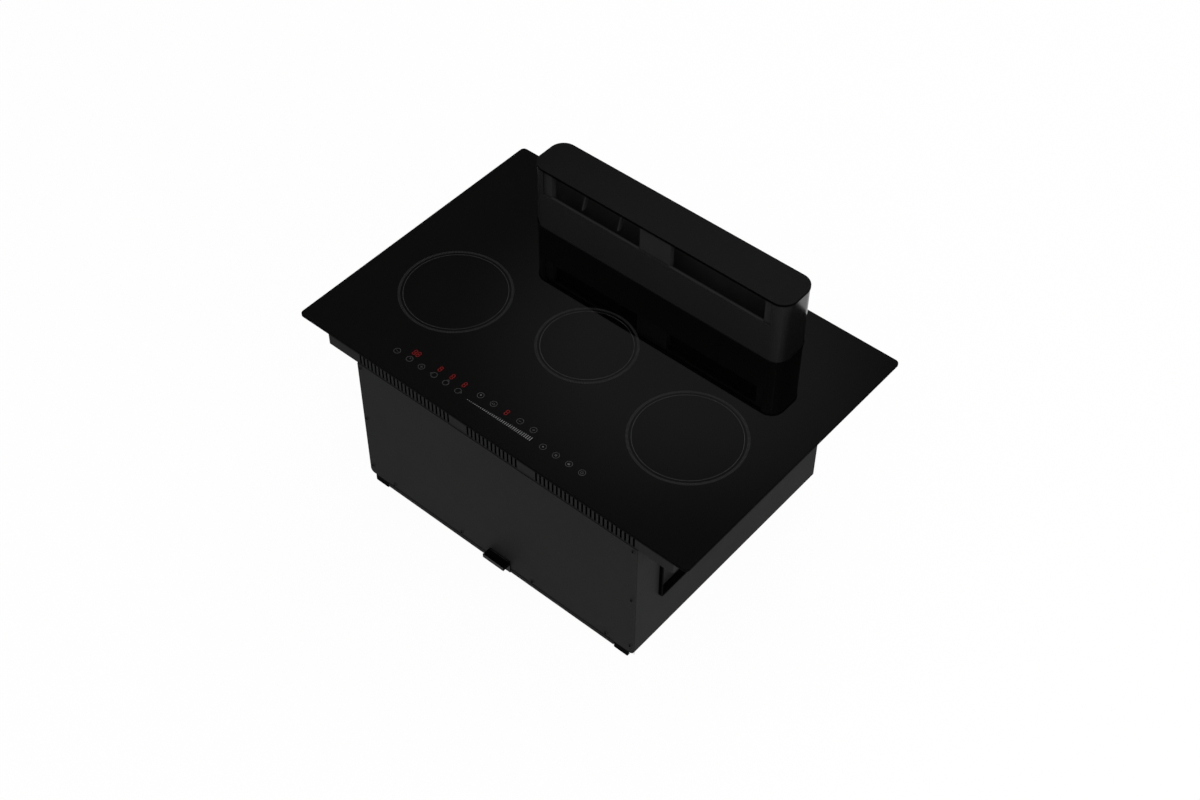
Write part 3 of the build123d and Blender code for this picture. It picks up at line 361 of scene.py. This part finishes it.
FINISHES = {
    "glass_ceramic": black_glass(),
    "panel_black": powder_black(),
    "tower_black": tower_enamel(),
    "sheet_steel": galvanised(),
    "aluminium": mill_aluminium(),
    "bright_steel": ground_steel(),
    "moulded_black": moulded_black(),
    "grey_plate": cover_grey(),
    "seal_foam": foam_seal(),
    "ferrite": sintered_ferrite(),
    "mica": mica_paper(),
    "circuit_board": circuit_board(),
    "acetal": natural_acetal(),
}


def middle_of(name):
    low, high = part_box(name)
    return (low + high) / 2


def dress(name, material):
    """Gives a carried-over CAD node its worked material."""
    slots = nodes[name].material_slots
    for entry in slots:
        entry.material = material
    if not slots:
        nodes[name].data.materials.append(material)


for entry in frame["record"]["subparts"]:
    if entry["material_slot"] in FINISHES:
        dress(entry["node"], FINISHES[entry["material_slot"]])
for coil in ("coil_left", "coil_middle", "coil_right"):
    dress(coil, copper_winding("copper_" + coil, middle_of(coil)))
dress("window_frame", frame_black())
dress("cap_stiffener", brace_grey())


# ---------------------------------------------------------------- building pieces
MERGE_GAP = 0.002 * MM
SHARP_ANGLE = math.radians(25)
STRIP_CHAMFER = 0.03 * MM


def to_mesh_object(name, mesh, body):
    piece = bpy.data.objects.new(name, mesh)
    bpy.context.collection.objects.link(piece)
    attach(piece, body)
    return piece


def to_mesh(name, shape, materials):
    """Ends a bmesh: its faces in a new mesh with the given materials."""
    mesh = bpy.data.meshes.new(name)
    shape.to_mesh(mesh)
    shape.free()
    for material in materials:
        mesh.materials.append(material)
    return mesh


def geometry_tree(name, inputs):
    """A Geometry Nodes tree with named inputs, its input sockets to link and its output socket."""
    tree = bpy.data.node_groups.new(name, "GeometryNodeTree")
    tree.interface.new_socket("Geometry", in_out="OUTPUT", socket_type="NodeSocketGeometry")
    kinds = {"float": "NodeSocketFloat", "int": "NodeSocketInt", "material": "NodeSocketMaterial",
             "vector": "NodeSocketVector", "geometry": "NodeSocketGeometry"}
    for label, kind in inputs:
        tree.interface.new_socket(label, in_out="INPUT", socket_type=kinds[kind])
    return tree, tree.nodes.new("NodeGroupInput").outputs, tree.nodes.new("NodeGroupOutput").inputs[0]


def xyz(tree, inputs):
    return add(tree, "ShaderNodeCombineXYZ", inputs).outputs[0]


def with_material(tree, geometry, material):
    return add(tree, "GeometryNodeSetMaterial", {"Geometry": geometry, "Material": material}).outputs[0]


def placed(tree, geometry, **moves):
    """Geometry moved by Translation or turned by Rotation."""
    return add(tree, "GeometryNodeTransform", {"Geometry": geometry, **moves}).outputs[0]


def one_at_each(tree, points, instance, **turns):
    """Copies of a geometry on points, with an optional Rotation or Scale for each."""
    return add(tree, "GeometryNodeInstanceOnPoints", {
        "Points": points, "Instance": instance, **turns}).outputs[0]


def realized(tree, geometry):
    return add(tree, "GeometryNodeRealizeInstances", {"Geometry": geometry}).outputs[0]


def bake_nodes(name, tree, values, points=()):
    """Runs a Geometry Nodes tree on the given points and inputs and returns its plain mesh."""
    start = bpy.data.meshes.new(name)
    start.from_pydata(points, [], [])
    holder = bpy.data.objects.new(name, start)
    bpy.context.collection.objects.link(holder)
    modifier = holder.modifiers.new(name, "NODES")
    modifier.node_group = tree
    for item in tree.interface.items_tree:
        if item.in_out == "INPUT" and item.name in values:
            modifier[item.identifier] = values[item.name]
    bpy.context.view_layer.update()
    evaluated = holder.evaluated_get(bpy.context.evaluated_depsgraph_get())
    mesh = bpy.data.meshes.new_from_object(evaluated)
    holder.modifiers.remove(modifier)
    bpy.data.objects.remove(holder)
    return mesh


def redress(node, name, body, materials, choose):
    """A clean copy of a CAD node in two finishes: choose(face) gives the number of a face's material."""
    shape = bmesh.new()
    shape.from_mesh(nodes[node].data)
    bmesh.ops.remove_doubles(shape, verts=shape.verts, dist=MERGE_GAP)
    for face in shape.faces:
        face.smooth = True
        face.material_index = choose(face)
    mesh = to_mesh(name, shape, materials)
    mesh.attributes.remove(mesh.attributes["custom_normal"])
    mesh.set_sharp_from_angle(angle=SHARP_ANGLE)
    piece = to_mesh_object(name, mesh, body)
    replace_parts(piece, node)


def add_strips(name, body, material, boxes):
    """Thin strips with broken edges in one piece, each given by its lowest and highest corner."""
    shape = bmesh.new()
    for low, high in boxes:
        middle, size = (Vector(low) + Vector(high)) / 2, Vector(high) - Vector(low)
        place = Matrix.Translation(middle) @ Matrix.Diagonal((*size, 1.0))
        bmesh.ops.create_cube(shape, size=1.0, matrix=place)
    bmesh.ops.bevel(shape, geom=shape.edges[:], offset=STRIP_CHAMFER, segments=1, affect="EDGES")
    to_mesh_object(name, to_mesh(name, shape, [material]), body)


# ---------------------------------------------------------------- glass, cap and tower
UPWARD = 0.9
# This matte black serves ground rims, and is painted shade where it goes on cut edges, inner faces, gaps
# and screw recesses.
RIM_AND_SHADE = ground_edge_and_shade()
GLASS = FINISHES["glass_ceramic"]

TOWER_LOW, TOWER_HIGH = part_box("tower_shell")
TOWER_MIDDLE = (TOWER_LOW + TOWER_HIGH) / 2
TOWER_CORNER_R = 24.2 * MM
TOWER_WALL = 1.2 * MM
WINDOW_SILL = 399.0 * MM
RECESS_HALF = 222.5 * MM
WINDOW_OUTER = 208.5 * MM
PILLAR_HALF = 30.0 * MM


def top_or_rim(face):
    return 0 if face.normal.z > UPWARD else 1


def depth_inside(point):
    """How far a point lies inside the tower's rounded outline, seen from above."""
    half_x = (TOWER_HIGH.x - TOWER_LOW.x) / 2 - TOWER_CORNER_R
    half_y = (TOWER_HIGH.y - TOWER_LOW.y) / 2 - TOWER_CORNER_R
    x, y = abs(point.x - TOWER_MIDDLE.x) - half_x, abs(point.y - TOWER_MIDDLE.y) - half_y
    outside = math.hypot(max(x, 0.0), max(y, 0.0))
    return TOWER_CORNER_R - outside - min(max(x, y), 0.0)


def outside_or_in(face):
    return 1 if depth_inside(face.calc_center_median()) > 0.7 * TOWER_WALL else 0


def sill_highlight_strip():
    """Lighter strip along the sill, with wider ledges at its ends and under the middle pillar: painted
    highlight where the sill's edge and ledges catch the light.
    """
    front, back = TOWER_LOW.y - 0.08 * MM, TOWER_LOW.y + 0.5 * MM
    lip, ledge, top = 0.9 * MM, 4.4 * MM, WINDOW_SILL + 0.12 * MM
    boxes = [((-RECESS_HALF, front, WINDOW_SILL - lip), (RECESS_HALF, back, top))]
    ledges = ((-RECESS_HALF, -WINDOW_OUTER), (-PILLAR_HALF, PILLAR_HALF), (WINDOW_OUTER, RECESS_HALF))
    boxes += [((x0, back, WINDOW_SILL), (x1, TOWER_LOW.y + ledge, top)) for x0, x1 in ledges]
    add_strips("sill_highlight_strip", "tower", highlight_grey(), boxes)


redress("glass_top", "glass_plate", "housing", [GLASS, RIM_AND_SHADE], top_or_rim)
redress("tower_cap", "cap_lid", "tower", [cap_plate(), RIM_AND_SHADE], top_or_rim)
redress("tower_shell", "tower_skin", "tower",
        [FINISHES["tower_black"], tower_inside()], outside_or_in)
sill_highlight_strip()


# ---------------------------------------------------------------- pan, drawer and panel
PAN_MIDDLE = middle_of("hob_tray")
PAN_FRONT = -238.6 * MM
PAN_WALL = 1.2 * MM
SLOT_LOW, SLOT_HIGH = 274.5 * MM, 304.1 * MM
SLOTS_HALF = 335.0 * MM


def pan_or_shade(face):
    """0 for the pan's outside, 1 for the cut edges of its vent slots and for its inside, which take matte
    black as painted shade.
    """
    centre, normal = face.calc_center_median(), face.normal
    in_front = centre.y < PAN_FRONT + PAN_WALL and abs(centre.x) < SLOTS_HALF
    cut = in_front and abs(normal.y) < 0.5 and SLOT_LOW < centre.z < SLOT_HIGH
    inward = normal.dot(PAN_MIDDLE - centre) > 0 and normal.z > -0.5
    return 1 if cut or inward else 0


def lip_or_grip(face):
    """The pull is black but for its front lip and its underside."""
    return 1 if face.normal.z > 0.3 or abs(face.normal.x) > 0.5 else 0


def drawer_gap_shade():
    """Thin matte black strip across the gap between the drip tray's front and the panel above it: painted
    shadow line.
    """
    low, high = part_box("drip_tray")
    thick, down, up = 0.35 * MM, 1.3 * MM, 0.25 * MM
    box = ((low.x, low.y - thick, high.z - down), (high.x, low.y, high.z + up))
    add_strips("drawer_gap_shade", "drip_drawer", RIM_AND_SHADE, [box])


def panel_seam_shade():
    """Thin matte black strips where the front panel meets the box's two sides: painted shade in the joints.
    """
    low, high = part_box("front_panel")
    box_half, half_gap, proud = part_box("box_wrap")[1].x, 0.4 * MM, 0.05 * MM
    boxes = [((side * box_half - proud, high.y - half_gap, low.z),
              (side * box_half + proud, high.y + half_gap, high.z)) for side in (-1, 1)]
    add_strips("panel_seam_shade", "housing", RIM_AND_SHADE, boxes)


drawer_gap_shade()
# The pan's slot edges and inside take matte black: painted shade.
redress("hob_tray", "vented_pan", "housing", [FINISHES["panel_black"], RIM_AND_SHADE], pan_or_shade)
redress("tray_pull", "pull_plate", "drip_drawer", [pull_steel(), RIM_AND_SHADE], lip_or_grip)
panel_seam_shade()


# ---------------------------------------------------------------- screws and filter mesh
SIDE_SCREW_X, SIDE_SCREW_Z = 272.6 * MM, (32.7 * MM, 148.0 * MM, 265.0 * MM)
FOOT_SCREW_X, FOOT_SCREW_Z = (-224.5 * MM, -74.8 * MM, 74.8 * MM, 224.5 * MM), 20.5 * MM
FILTER_LEAN = math.radians(36.87)
FILTER_WIDTH, FILTER_LENGTH = 212.0 * MM, 82.0 * MM
FILTER_RIM = 7.0 * MM
FILTER_FACE = 2.4 * MM  # from a filter's middle plane out to its mesh


def cross_head_tree():
    """Pan-head screws with a cross recess, one at each given point, heads facing the cook."""
    tree, given, out = geometry_tree("cross_head_screws", [
        ("Points", "geometry"), ("Head Radius", "float"), ("Head Height", "float"),
        ("Recess Length", "float"), ("Recess Width", "float"), ("Paint", "material"),
        ("Recess", "material")])
    radius, height = given["Head Radius"], given["Head Height"]
    rim = math_node(tree, "MULTIPLY", radius, 0.72)
    head = add(tree, "GeometryNodeMeshCone", {
        "Vertices": 24, "Radius Top": rim, "Radius Bottom": radius, "Depth": height}).outputs[0]
    long, narrow = given["Recess Length"], given["Recess Width"]
    deep = math_node(tree, "MULTIPLY", height, 1.2)
    cross = add(tree, "GeometryNodeMeshBoolean", operation="UNION")
    for x, y in ((long, narrow), (narrow, long)):
        cut = add(tree, "GeometryNodeMeshCube", {"Size": xyz(tree, {0: x, 1: y, 2: deep})}).outputs[0]
        tree.links.new(cut, cross.inputs["Mesh 2"])
    raised = placed(tree, cross.outputs[0], Translation=xyz(tree, {2: height}))
    painted = with_material(tree, head, given["Paint"])
    recessed = add(tree, "GeometryNodeMeshBoolean", {"Mesh 1": painted}, operation="DIFFERENCE")
    # The cross recess takes the Recess material, which stands in for the shade inside the recess.
    tree.links.new(with_material(tree, raised, given["Recess"]), recessed.inputs["Mesh 2"])
    facing = placed(tree, recessed.outputs[0], Rotation=(math.radians(90), 0.0, 0.0))
    tree.links.new(realized(tree, one_at_each(tree, given["Points"], facing)), out)
    return tree


def panel_screws():
    """The front panel's screws: three up each side and four along the foot."""
    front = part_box("front_panel")[0].y
    places = [(side * SIDE_SCREW_X, front, z) for side in (-1, 1) for z in SIDE_SCREW_Z]
    places += [(x, front, FOOT_SCREW_Z) for x in FOOT_SCREW_X]
    # The heads share the panel's paint; their cross recesses are matte black as painted shade.
    heads = bake_nodes("screw_heads", cross_head_tree(), {
        "Head Radius": 3.3 * MM, "Head Height": 1.6 * MM, "Recess Length": 4.2 * MM,
        "Recess Width": 1.9 * MM, "Paint": FINISHES["panel_black"], "Recess": RIM_AND_SHADE}, places)
    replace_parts(to_mesh_object("screw_heads", heads, "housing"), "panel_screws")


def wire_mesh_tree():
    """A flat panel of straight wires crossing at right angles, in the XY plane."""
    tree, given, out = geometry_tree("wire_mesh", [
        ("Width", "float"), ("Length", "float"), ("Pitch", "float"), ("Wire", "float"),
        ("Metal", "material")])
    wire = given["Wire"]
    both = add(tree, "GeometryNodeJoinGeometry")
    for along, axis, across in ((given["Width"], 0, given["Length"]), (given["Length"], 1, given["Width"])):
        count = math_node(tree, "FLOOR", math_node(tree, "DIVIDE", across, given["Pitch"]))
        gap = math_node(tree, "DIVIDE", across, count)
        first = math_node(tree, "MULTIPLY", across, -0.5)
        line = add(tree, "GeometryNodeMeshLine", {
            "Count": math_node(tree, "ADD", count, 1.0), "Start Location": xyz(tree, {1 - axis: first}),
            "Offset": xyz(tree, {1 - axis: gap})}, mode="OFFSET").outputs[0]
        size = xyz(tree, {axis: along, 1 - axis: wire, 2: wire})
        bar = add(tree, "GeometryNodeMeshCube", {"Size": size}).outputs[0]
        tree.links.new(one_at_each(tree, line, bar), both.inputs[0])
    tree.links.new(with_material(tree, realized(tree, both.outputs[0]), given["Metal"]), out)
    return tree


def filter_meshes():
    """Fine wire mesh on both faces of each grease filter, set in its leaning frame."""
    high_x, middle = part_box("grease_filters")[1].x, middle_of("grease_filters")
    weave = bake_nodes("weave", wire_mesh_tree(), {
        "Width": FILTER_WIDTH, "Length": FILTER_LENGTH, "Pitch": 2.4 * MM, "Wire": 0.7 * MM,
        "Metal": filter_wire()})
    stand_up = Matrix.Rotation(math.radians(90), 4, "X")
    shape = bmesh.new()
    for side in (-1, 1):
        place = Matrix.Translation((side * (high_x - FILTER_WIDTH / 2 - FILTER_RIM), middle.y, middle.z))
        for face in (-1, 1):
            layer = weave.copy()
            out = Matrix.Translation((0.0, face * FILTER_FACE, 0.0))
            layer.transform(place @ Matrix.Rotation(FILTER_LEAN, 4, "X") @ out @ stand_up)
            shape.from_mesh(layer)
    # Known fault: slot 0 of weave is empty, so the mesh shows plain grey and not filter_wire, in slot 1.
    mesh = to_mesh("filter_mesh", shape, [weave.materials[0]])
    to_mesh_object("filter_mesh", mesh, "tower")


panel_screws()
filter_meshes()


# ---------------------------------------------------------------- print on the glass
PRINT_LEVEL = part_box("glass_top")[1].z + 0.04 * MM
INK_GREY = printed_ink("ink_grey", (0.078,) * 3)
INK_DIM = printed_ink("ink_dim", (0.040,) * 3)
INK_PALE = printed_ink("ink_pale", (0.26,) * 3)
INK_RED = printed_ink("ink_red", (0.22, 0.003, 0.003), glow=0.6)


def ring_of_marks_tree():
    """Flat marks set side by side round a circle, each pointing at the middle."""
    tree, given, out = geometry_tree("ring_of_marks", [
        ("Centre", "vector"), ("Radius", "float"), ("Count", "int"), ("Mark Length", "float"),
        ("Mark Width", "float"), ("Ink", "material")])
    circle = add(tree, "GeometryNodeMeshCircle", {
        "Vertices": given["Count"], "Radius": given["Radius"]}).outputs[0]
    mark = add(tree, "GeometryNodeMeshGrid", {
        "Size X": given["Mark Length"], "Size Y": given["Mark Width"], "Vertices X": 2,
        "Vertices Y": 2}).outputs[0]
    place = add(tree, "GeometryNodeInputPosition").outputs[0]
    turn = add(tree, "FunctionNodeAlignEulerToVector", {"Vector": place}, axis="X", pivot_axis="Z")
    marks = one_at_each(tree, circle, mark, Rotation=turn.outputs[0])
    moved = placed(tree, marks, Translation=given["Centre"])
    tree.links.new(with_material(tree, realized(tree, moved), given["Ink"]), out)
    return tree


def growing_bars_tree():
    """A row of upright bars on one base line, each a little taller than the last."""
    tree, given, out = geometry_tree("growing_bars", [
        ("First", "vector"), ("Pitch", "float"), ("Count", "int"), ("Bar Width", "float"),
        ("First Height", "float"), ("Last Height", "float"), ("Ink", "material")])
    row = add(tree, "GeometryNodeMeshLine", {
        "Count": given["Count"], "Start Location": given["First"],
        "Offset": xyz(tree, {0: given["Pitch"]})}, mode="OFFSET").outputs[0]
    bar = add(tree, "GeometryNodeMeshGrid", {
        "Size X": given["Bar Width"], "Size Y": 1.0, "Vertices X": 2, "Vertices Y": 2}).outputs[0]
    seated = placed(tree, bar, Translation=(0.0, 0.5, 0.0))
    index = add(tree, "GeometryNodeInputIndex").outputs[0]
    last = math_node(tree, "SUBTRACT", given["Count"], 1.0)
    height = remap(tree, index, 0.0, last, given["First Height"], given["Last Height"])
    bars = one_at_each(tree, row, seated, Scale=xyz(tree, {0: 1.0, 1: height, 2: 1.0}))
    tree.links.new(with_material(tree, realized(tree, bars), given["Ink"]), out)
    return tree


# Each zone's middle and the radius of its hatched ring.
ZONES = {
    "left": (-229.9 * MM, -66.8 * MM, 88.5 * MM),
    "middle": (-0.5 * MM, -21.9 * MM, 77.8 * MM),
    "right": (229.9 * MM, -66.8 * MM, 88.5 * MM),
}
MARK_PITCH = 2.3 * MM
DOTS_INSET = 6.3 * MM


def zone_rings():
    """Hatched ring and thin dotted ring round each zone."""
    tree = ring_of_marks_tree()
    for name, (x, y, radius) in ZONES.items():
        shared = {"Centre": (x, y, PRINT_LEVEL), "Count": round(2 * math.pi * radius / MARK_PITCH)}
        hatch = bake_nodes("hatch", tree, {
            **shared, "Radius": radius, "Mark Length": 4.4 * MM, "Mark Width": 0.65 * MM, "Ink": INK_DIM})
        dots = bake_nodes("dots", tree, {
            **shared, "Radius": radius - DOTS_INSET, "Mark Length": 0.6 * MM, "Mark Width": 1.2 * MM,
            "Ink": INK_GREY})
        to_mesh_object(f"zone_hatch_{name}", hatch, "housing")
        to_mesh_object(f"zone_dots_{name}", dots, "housing")


def power_slider():
    bars = bake_nodes("bars", growing_bars_tree(), {
        "First": (-61.6 * MM, -221.7 * MM, PRINT_LEVEL), "Pitch": 3.69 * MM, "Count": 34,
        "Bar Width": 0.8 * MM, "First Height": 1.2 * MM, "Last Height": 7.8 * MM, "Ink": INK_PALE})
    to_mesh_object("power_slider", bars, "housing")


class Drawing:
    """Flat ink drawn on the glass in millimetres: strokes, arcs and discs gathered in one mesh."""

    def __init__(self, width):
        self.mesh = bmesh.new()
        self.width = width

    def corner(self, x, y):
        return self.mesh.verts.new((x * MM, y * MM, PRINT_LEVEL))

    def stroke(self, start, end, width=None):
        a, b = Vector(start), Vector(end)
        side = (b - a).normalized().orthogonal() * (width or self.width) / 2
        face = self.mesh.faces.new([self.corner(*p) for p in (a - side, b - side, b + side, a + side)])
        face.normal_update()
        if face.normal.z < 0:
            face.normal_flip()

    def arc(self, x, y, radius, start=0.0, end=360.0, steps=32):
        inner, outer = radius - self.width / 2, radius + self.width / 2
        count = max(3, round(steps * (end - start) / 360))
        rows = []
        for index in range(count + 1):
            angle = math.radians(start + (end - start) * index / count)
            rows.append([self.corner(x + r * math.cos(angle), y + r * math.sin(angle))
                         for r in (inner, outer)])
        for (a, b), (c, d) in zip(rows, rows[1:]):
            self.mesh.faces.new((a, b, d, c))

    def disc(self, x, y, radius, steps=20):
        turns = [math.tau * k / steps for k in range(steps)]
        ring = [self.corner(x + radius * math.cos(t), y + radius * math.sin(t)) for t in turns]
        self.mesh.faces.new(ring)

    def into_piece(self, name, material):
        bmesh.ops.remove_doubles(self.mesh, verts=self.mesh.verts, dist=1e-7)
        to_mesh_object(name, to_mesh(name, self.mesh, [material]), "housing")


# The signs below are drawn in millimetres round the middle (x, y) of their key.
def minus(ink, x, y):
    ink.stroke((x - 2.4, y), (x + 2.4, y))


def plus(ink, x, y):
    minus(ink, x, y)
    ink.stroke((x, y - 2.4), (x, y + 2.4))


def clock(ink, x, y):
    ink.stroke((x, y), (x, y + 3.2))
    ink.stroke((x, y), (x + 2.2, y + 1.2))


def pie(ink, x, y):
    ink.disc(x, y + 0.6, 1.5)
    ink.stroke((x, y), (x, y + 3.0))


def warm(ink, x, y):
    ink.arc(x, y - 0.9, 2.2, 0, 180, 24)
    ink.stroke((x - 2.6, y - 1.4), (x + 2.6, y - 1.4))


def dot(ink, x, y):
    ink.disc(x, y, 1.4)


def pause(ink, x, y):
    for bar in (x - 1.0, x + 1.0):
        ink.stroke((bar, y - 1.9), (bar, y + 1.9), 0.9)


def lock(ink, x, y):
    ink.stroke((x - 2.0, y - 0.9), (x + 2.0, y - 0.9), 2.2)
    ink.arc(x, y + 0.4, 1.3, 0, 180, 20)


def power(ink, x, y):
    ink.stroke((x, y + 0.2), (x, y + 3.0))
    ink.arc(x, y - 0.3, 2.1, 125, 415, 28)


UPPER_ROW, LOWER_ROW = -202.2, -217.3
KEY_STROKE, KEY_RADIUS = 0.45, 5.2
KEYS = [
    (minus, -209.6, LOWER_ROW), (clock, -183.8, LOWER_ROW), (plus, -159.0, LOWER_ROW),
    (pie, -52.6, UPPER_ROW), (warm, -26.7, UPPER_ROW), (minus, 25.7, UPPER_ROW), (plus, 51.7, UPPER_ROW),
    (dot, 83.3, LOWER_ROW), (pause, 108.0, LOWER_ROW), (lock, 132.8, LOWER_ROW), (power, 157.5, LOWER_ROW),
]
# Zone keys: an open ring with a small circle in its gap, which lies at the given angle.
ZONE_KEYS = [(-133.0, 180.0), (-109.2, 90.0), (-84.3, 0.0)]
ZONE_RING_RADIUS, ZONE_RING_GAP = 4.888, 24.0
ZONE_CIRCLE_RADIUS, ZONE_CIRCLE_OUT = 1.5, 5.4
DIGITS = [-187.0, -179.6, -133.8, -109.6, -84.8, -0.4]
DIGIT_STROKE, DIGIT_HALF_WIDTH, DIGIT_HALF_HEIGHT, SEGMENT_GAP = 0.55, 2.2, 4.8, 0.45


def key_symbols():
    ink = Drawing(KEY_STROKE)
    for symbol, x, y in KEYS:
        ink.arc(x, y, KEY_RADIUS)
        symbol(ink, x, y)
    for x, side in ZONE_KEYS:
        ink.arc(x, LOWER_ROW, ZONE_RING_RADIUS, side + ZONE_RING_GAP, side + 360 - ZONE_RING_GAP)
        angle = math.radians(side)
        ink.arc(x + ZONE_CIRCLE_OUT * math.cos(angle), LOWER_ROW + ZONE_CIRCLE_OUT * math.sin(angle),
                ZONE_CIRCLE_RADIUS)
    ink.into_piece("key_symbols", INK_GREY)


def red_digits():
    """Seven-segment figures, all segments lit."""
    ink = Drawing(DIGIT_STROKE)
    wide, tall, gap = DIGIT_HALF_WIDTH, DIGIT_HALF_HEIGHT, SEGMENT_GAP
    for x in DIGITS:
        for level in (-tall, 0.0, tall):
            ink.stroke((x - wide + gap, UPPER_ROW + level), (x + wide - gap, UPPER_ROW + level))
        for side in (x - wide, x + wide):
            for low in (UPPER_ROW - tall, UPPER_ROW):
                ink.stroke((side, low + gap), (side, low + tall - gap))
    ink.into_piece("red_digits", INK_RED)


zone_rings()
power_slider()
key_symbols()
red_digits()


# ---------------------------------------------------------------- studio
FLOOR_SIZE = 16.0
FLOOR_GLOW = 0.96
WORLD_LEVEL = 0.55
FLAG_HEIGHT = 3.2
GLOW_CENTRE = (-1.5, 2.3, FLAG_HEIGHT)
GLOW_INNER, GLOW_OUTER = 0.30, 0.95
GLOW_LEVEL, FLAG_LEVEL = 0.082, 0.031


def rays_that_see_white(tree):
    """1 for camera, glossy and transmission rays, which see the plain white surroundings."""
    path = add(tree, "ShaderNodeLightPath").outputs
    seen = math_node(tree, "MAXIMUM", path["Is Camera Ray"], path["Is Glossy Ray"])
    return math_node(tree, "MAXIMUM", seen, path["Is Transmission Ray"])


def level_plane(name, height, material):
    """A square plane over the whole studio at the given height, no part of the object."""
    mesh = bpy.data.meshes.new(name)
    half = FLOOR_SIZE / 2
    corners = [(-half, -half, height), (half, -half, height), (half, half, height), (-half, half, height)]
    mesh.from_pydata(corners, [], [(0, 1, 2, 3)])
    mesh.materials.append(material)
    piece = bpy.data.objects.new(name, mesh)
    bpy.context.collection.objects.link(piece)
    return piece


def white_floor():
    """Pale floor that keeps a soft shadow and reads white to camera and reflections."""
    material, tree, shader = start_material("studio_floor")
    speck = add(tree, "ShaderNodeTexNoise", {"Scale": 30.0}).outputs[0]
    fill(tree, shader, {"Base Color": mix_colour(tree, speck, rgba(0.86), rgba(0.90)), "Roughness": 0.9,
                        "Specular IOR Level": 0.1})
    glow = add(tree, "ShaderNodeEmission", {"Color": rgba(1.0), "Strength": 1.0})
    share = math_node(tree, "MULTIPLY", rays_that_see_white(tree), FLOOR_GLOW)
    lit = add(tree, "ShaderNodeMixShader", {0: share, 1: shader.outputs[0], 2: glow.outputs[0]})
    clear = add(tree, "ShaderNodeBsdfTransparent")
    below = add(tree, "ShaderNodeNewGeometry").outputs["Backfacing"]
    whole = add(tree, "ShaderNodeMixShader", {0: below, 1: lit.outputs[0], 2: clear.outputs[0]})
    tree.links.new(whole.outputs[0], tree.nodes["Material Output"].inputs["Surface"])
    level_plane("floor", -0.5 * MM, material)


def dark_flag():
    """Overhead card that only reflections see: dark, with one soft round glow for the top to mirror."""
    material, tree, _ = start_material("studio_flag")
    away = add(tree, "ShaderNodeVectorMath", {0: object_place(tree), 1: GLOW_CENTRE}, operation="DISTANCE")
    level = remap(tree, away.outputs["Value"], GLOW_INNER, GLOW_OUTER, GLOW_LEVEL, FLAG_LEVEL, "SMOOTHSTEP")
    glow = add(tree, "ShaderNodeEmission", {"Color": mix_colour(tree, level, rgba(0.0), rgba(1.0))})
    tree.links.new(glow.outputs[0], tree.nodes["Material Output"].inputs["Surface"])
    card = level_plane("dark_flag", FLAG_HEIGHT, material)
    card.visible_camera = False
    card.visible_diffuse = False
    card.visible_shadow = False
    card.visible_transmission = False


def white_world():
    world = bpy.data.worlds.new("studio")
    bpy.context.scene.world = world
    world.use_nodes = True
    tree = world.node_tree
    tree.nodes.clear()
    dim = add(tree, "ShaderNodeBackground", {"Color": rgba(1.0), "Strength": WORLD_LEVEL})
    white = add(tree, "ShaderNodeBackground", {"Color": rgba(1.0), "Strength": 1.0})
    either = add(tree, "ShaderNodeMixShader", {
        0: rays_that_see_white(tree), 1: dim.outputs[0], 2: white.outputs[0]})
    out = add(tree, "ShaderNodeOutputWorld")
    tree.links.new(either.outputs[0], out.inputs["Surface"])


def soft_box(name, place, size, watts):
    """A square light aimed at the middle of the object, unseen in reflections."""
    light = bpy.data.lights.new(name, "AREA")
    light.shape = "SQUARE"
    light.size = size
    light.energy = watts
    lamp = bpy.data.objects.new(name, light)
    bpy.context.collection.objects.link(lamp)
    lamp.location = place
    aim = Vector((0.0, 0.0, 0.2)) - Vector(place)
    lamp.rotation_euler = aim.to_track_quat("-Z", "Y").to_euler()
    lamp.visible_glossy = False


def camera():
    """The photograph's viewing angle: place, heading, tilt and roll solved from the glass's corners."""
    place = Vector((1.251736, -1.492497, 2.349564))
    heading, tilt, roll = 2.26550630, -0.837700214, 0.0108572
    flat = math.cos(tilt)
    ahead = Vector((math.cos(heading) * flat, math.sin(heading) * flat, math.sin(tilt)))
    right = ahead.cross(Vector((0, 0, 1))).normalized()
    up = right.cross(ahead)
    turned_right = right * math.cos(roll) + up * math.sin(roll)
    turned_up = up * math.cos(roll) - right * math.sin(roll)
    data = bpy.data.cameras.new("photo_view")
    data.sensor_width = 36.0
    data.lens = 55.398
    data.clip_start, data.clip_end = 0.05, 60.0
    view = bpy.data.objects.new("photo_view", data)
    bpy.context.collection.objects.link(view)
    turn = Matrix((turned_right, turned_up, -ahead)).transposed().to_4x4()
    view.matrix_world = Matrix.Translation(place) @ turn
    bpy.context.scene.camera = view


white_floor()
dark_flag()
white_world()
soft_box("key", (1.8, -2.4, 3.2), size=2.4, watts=56)
soft_box("right_fill", (2.8, -0.4, 1.6), size=1.8, watts=33)
soft_box("rear_fill", (-0.6, 2.8, 2.4), size=2.0, watts=30)
camera()
bpy.context.scene.view_settings.view_transform = "Standard"
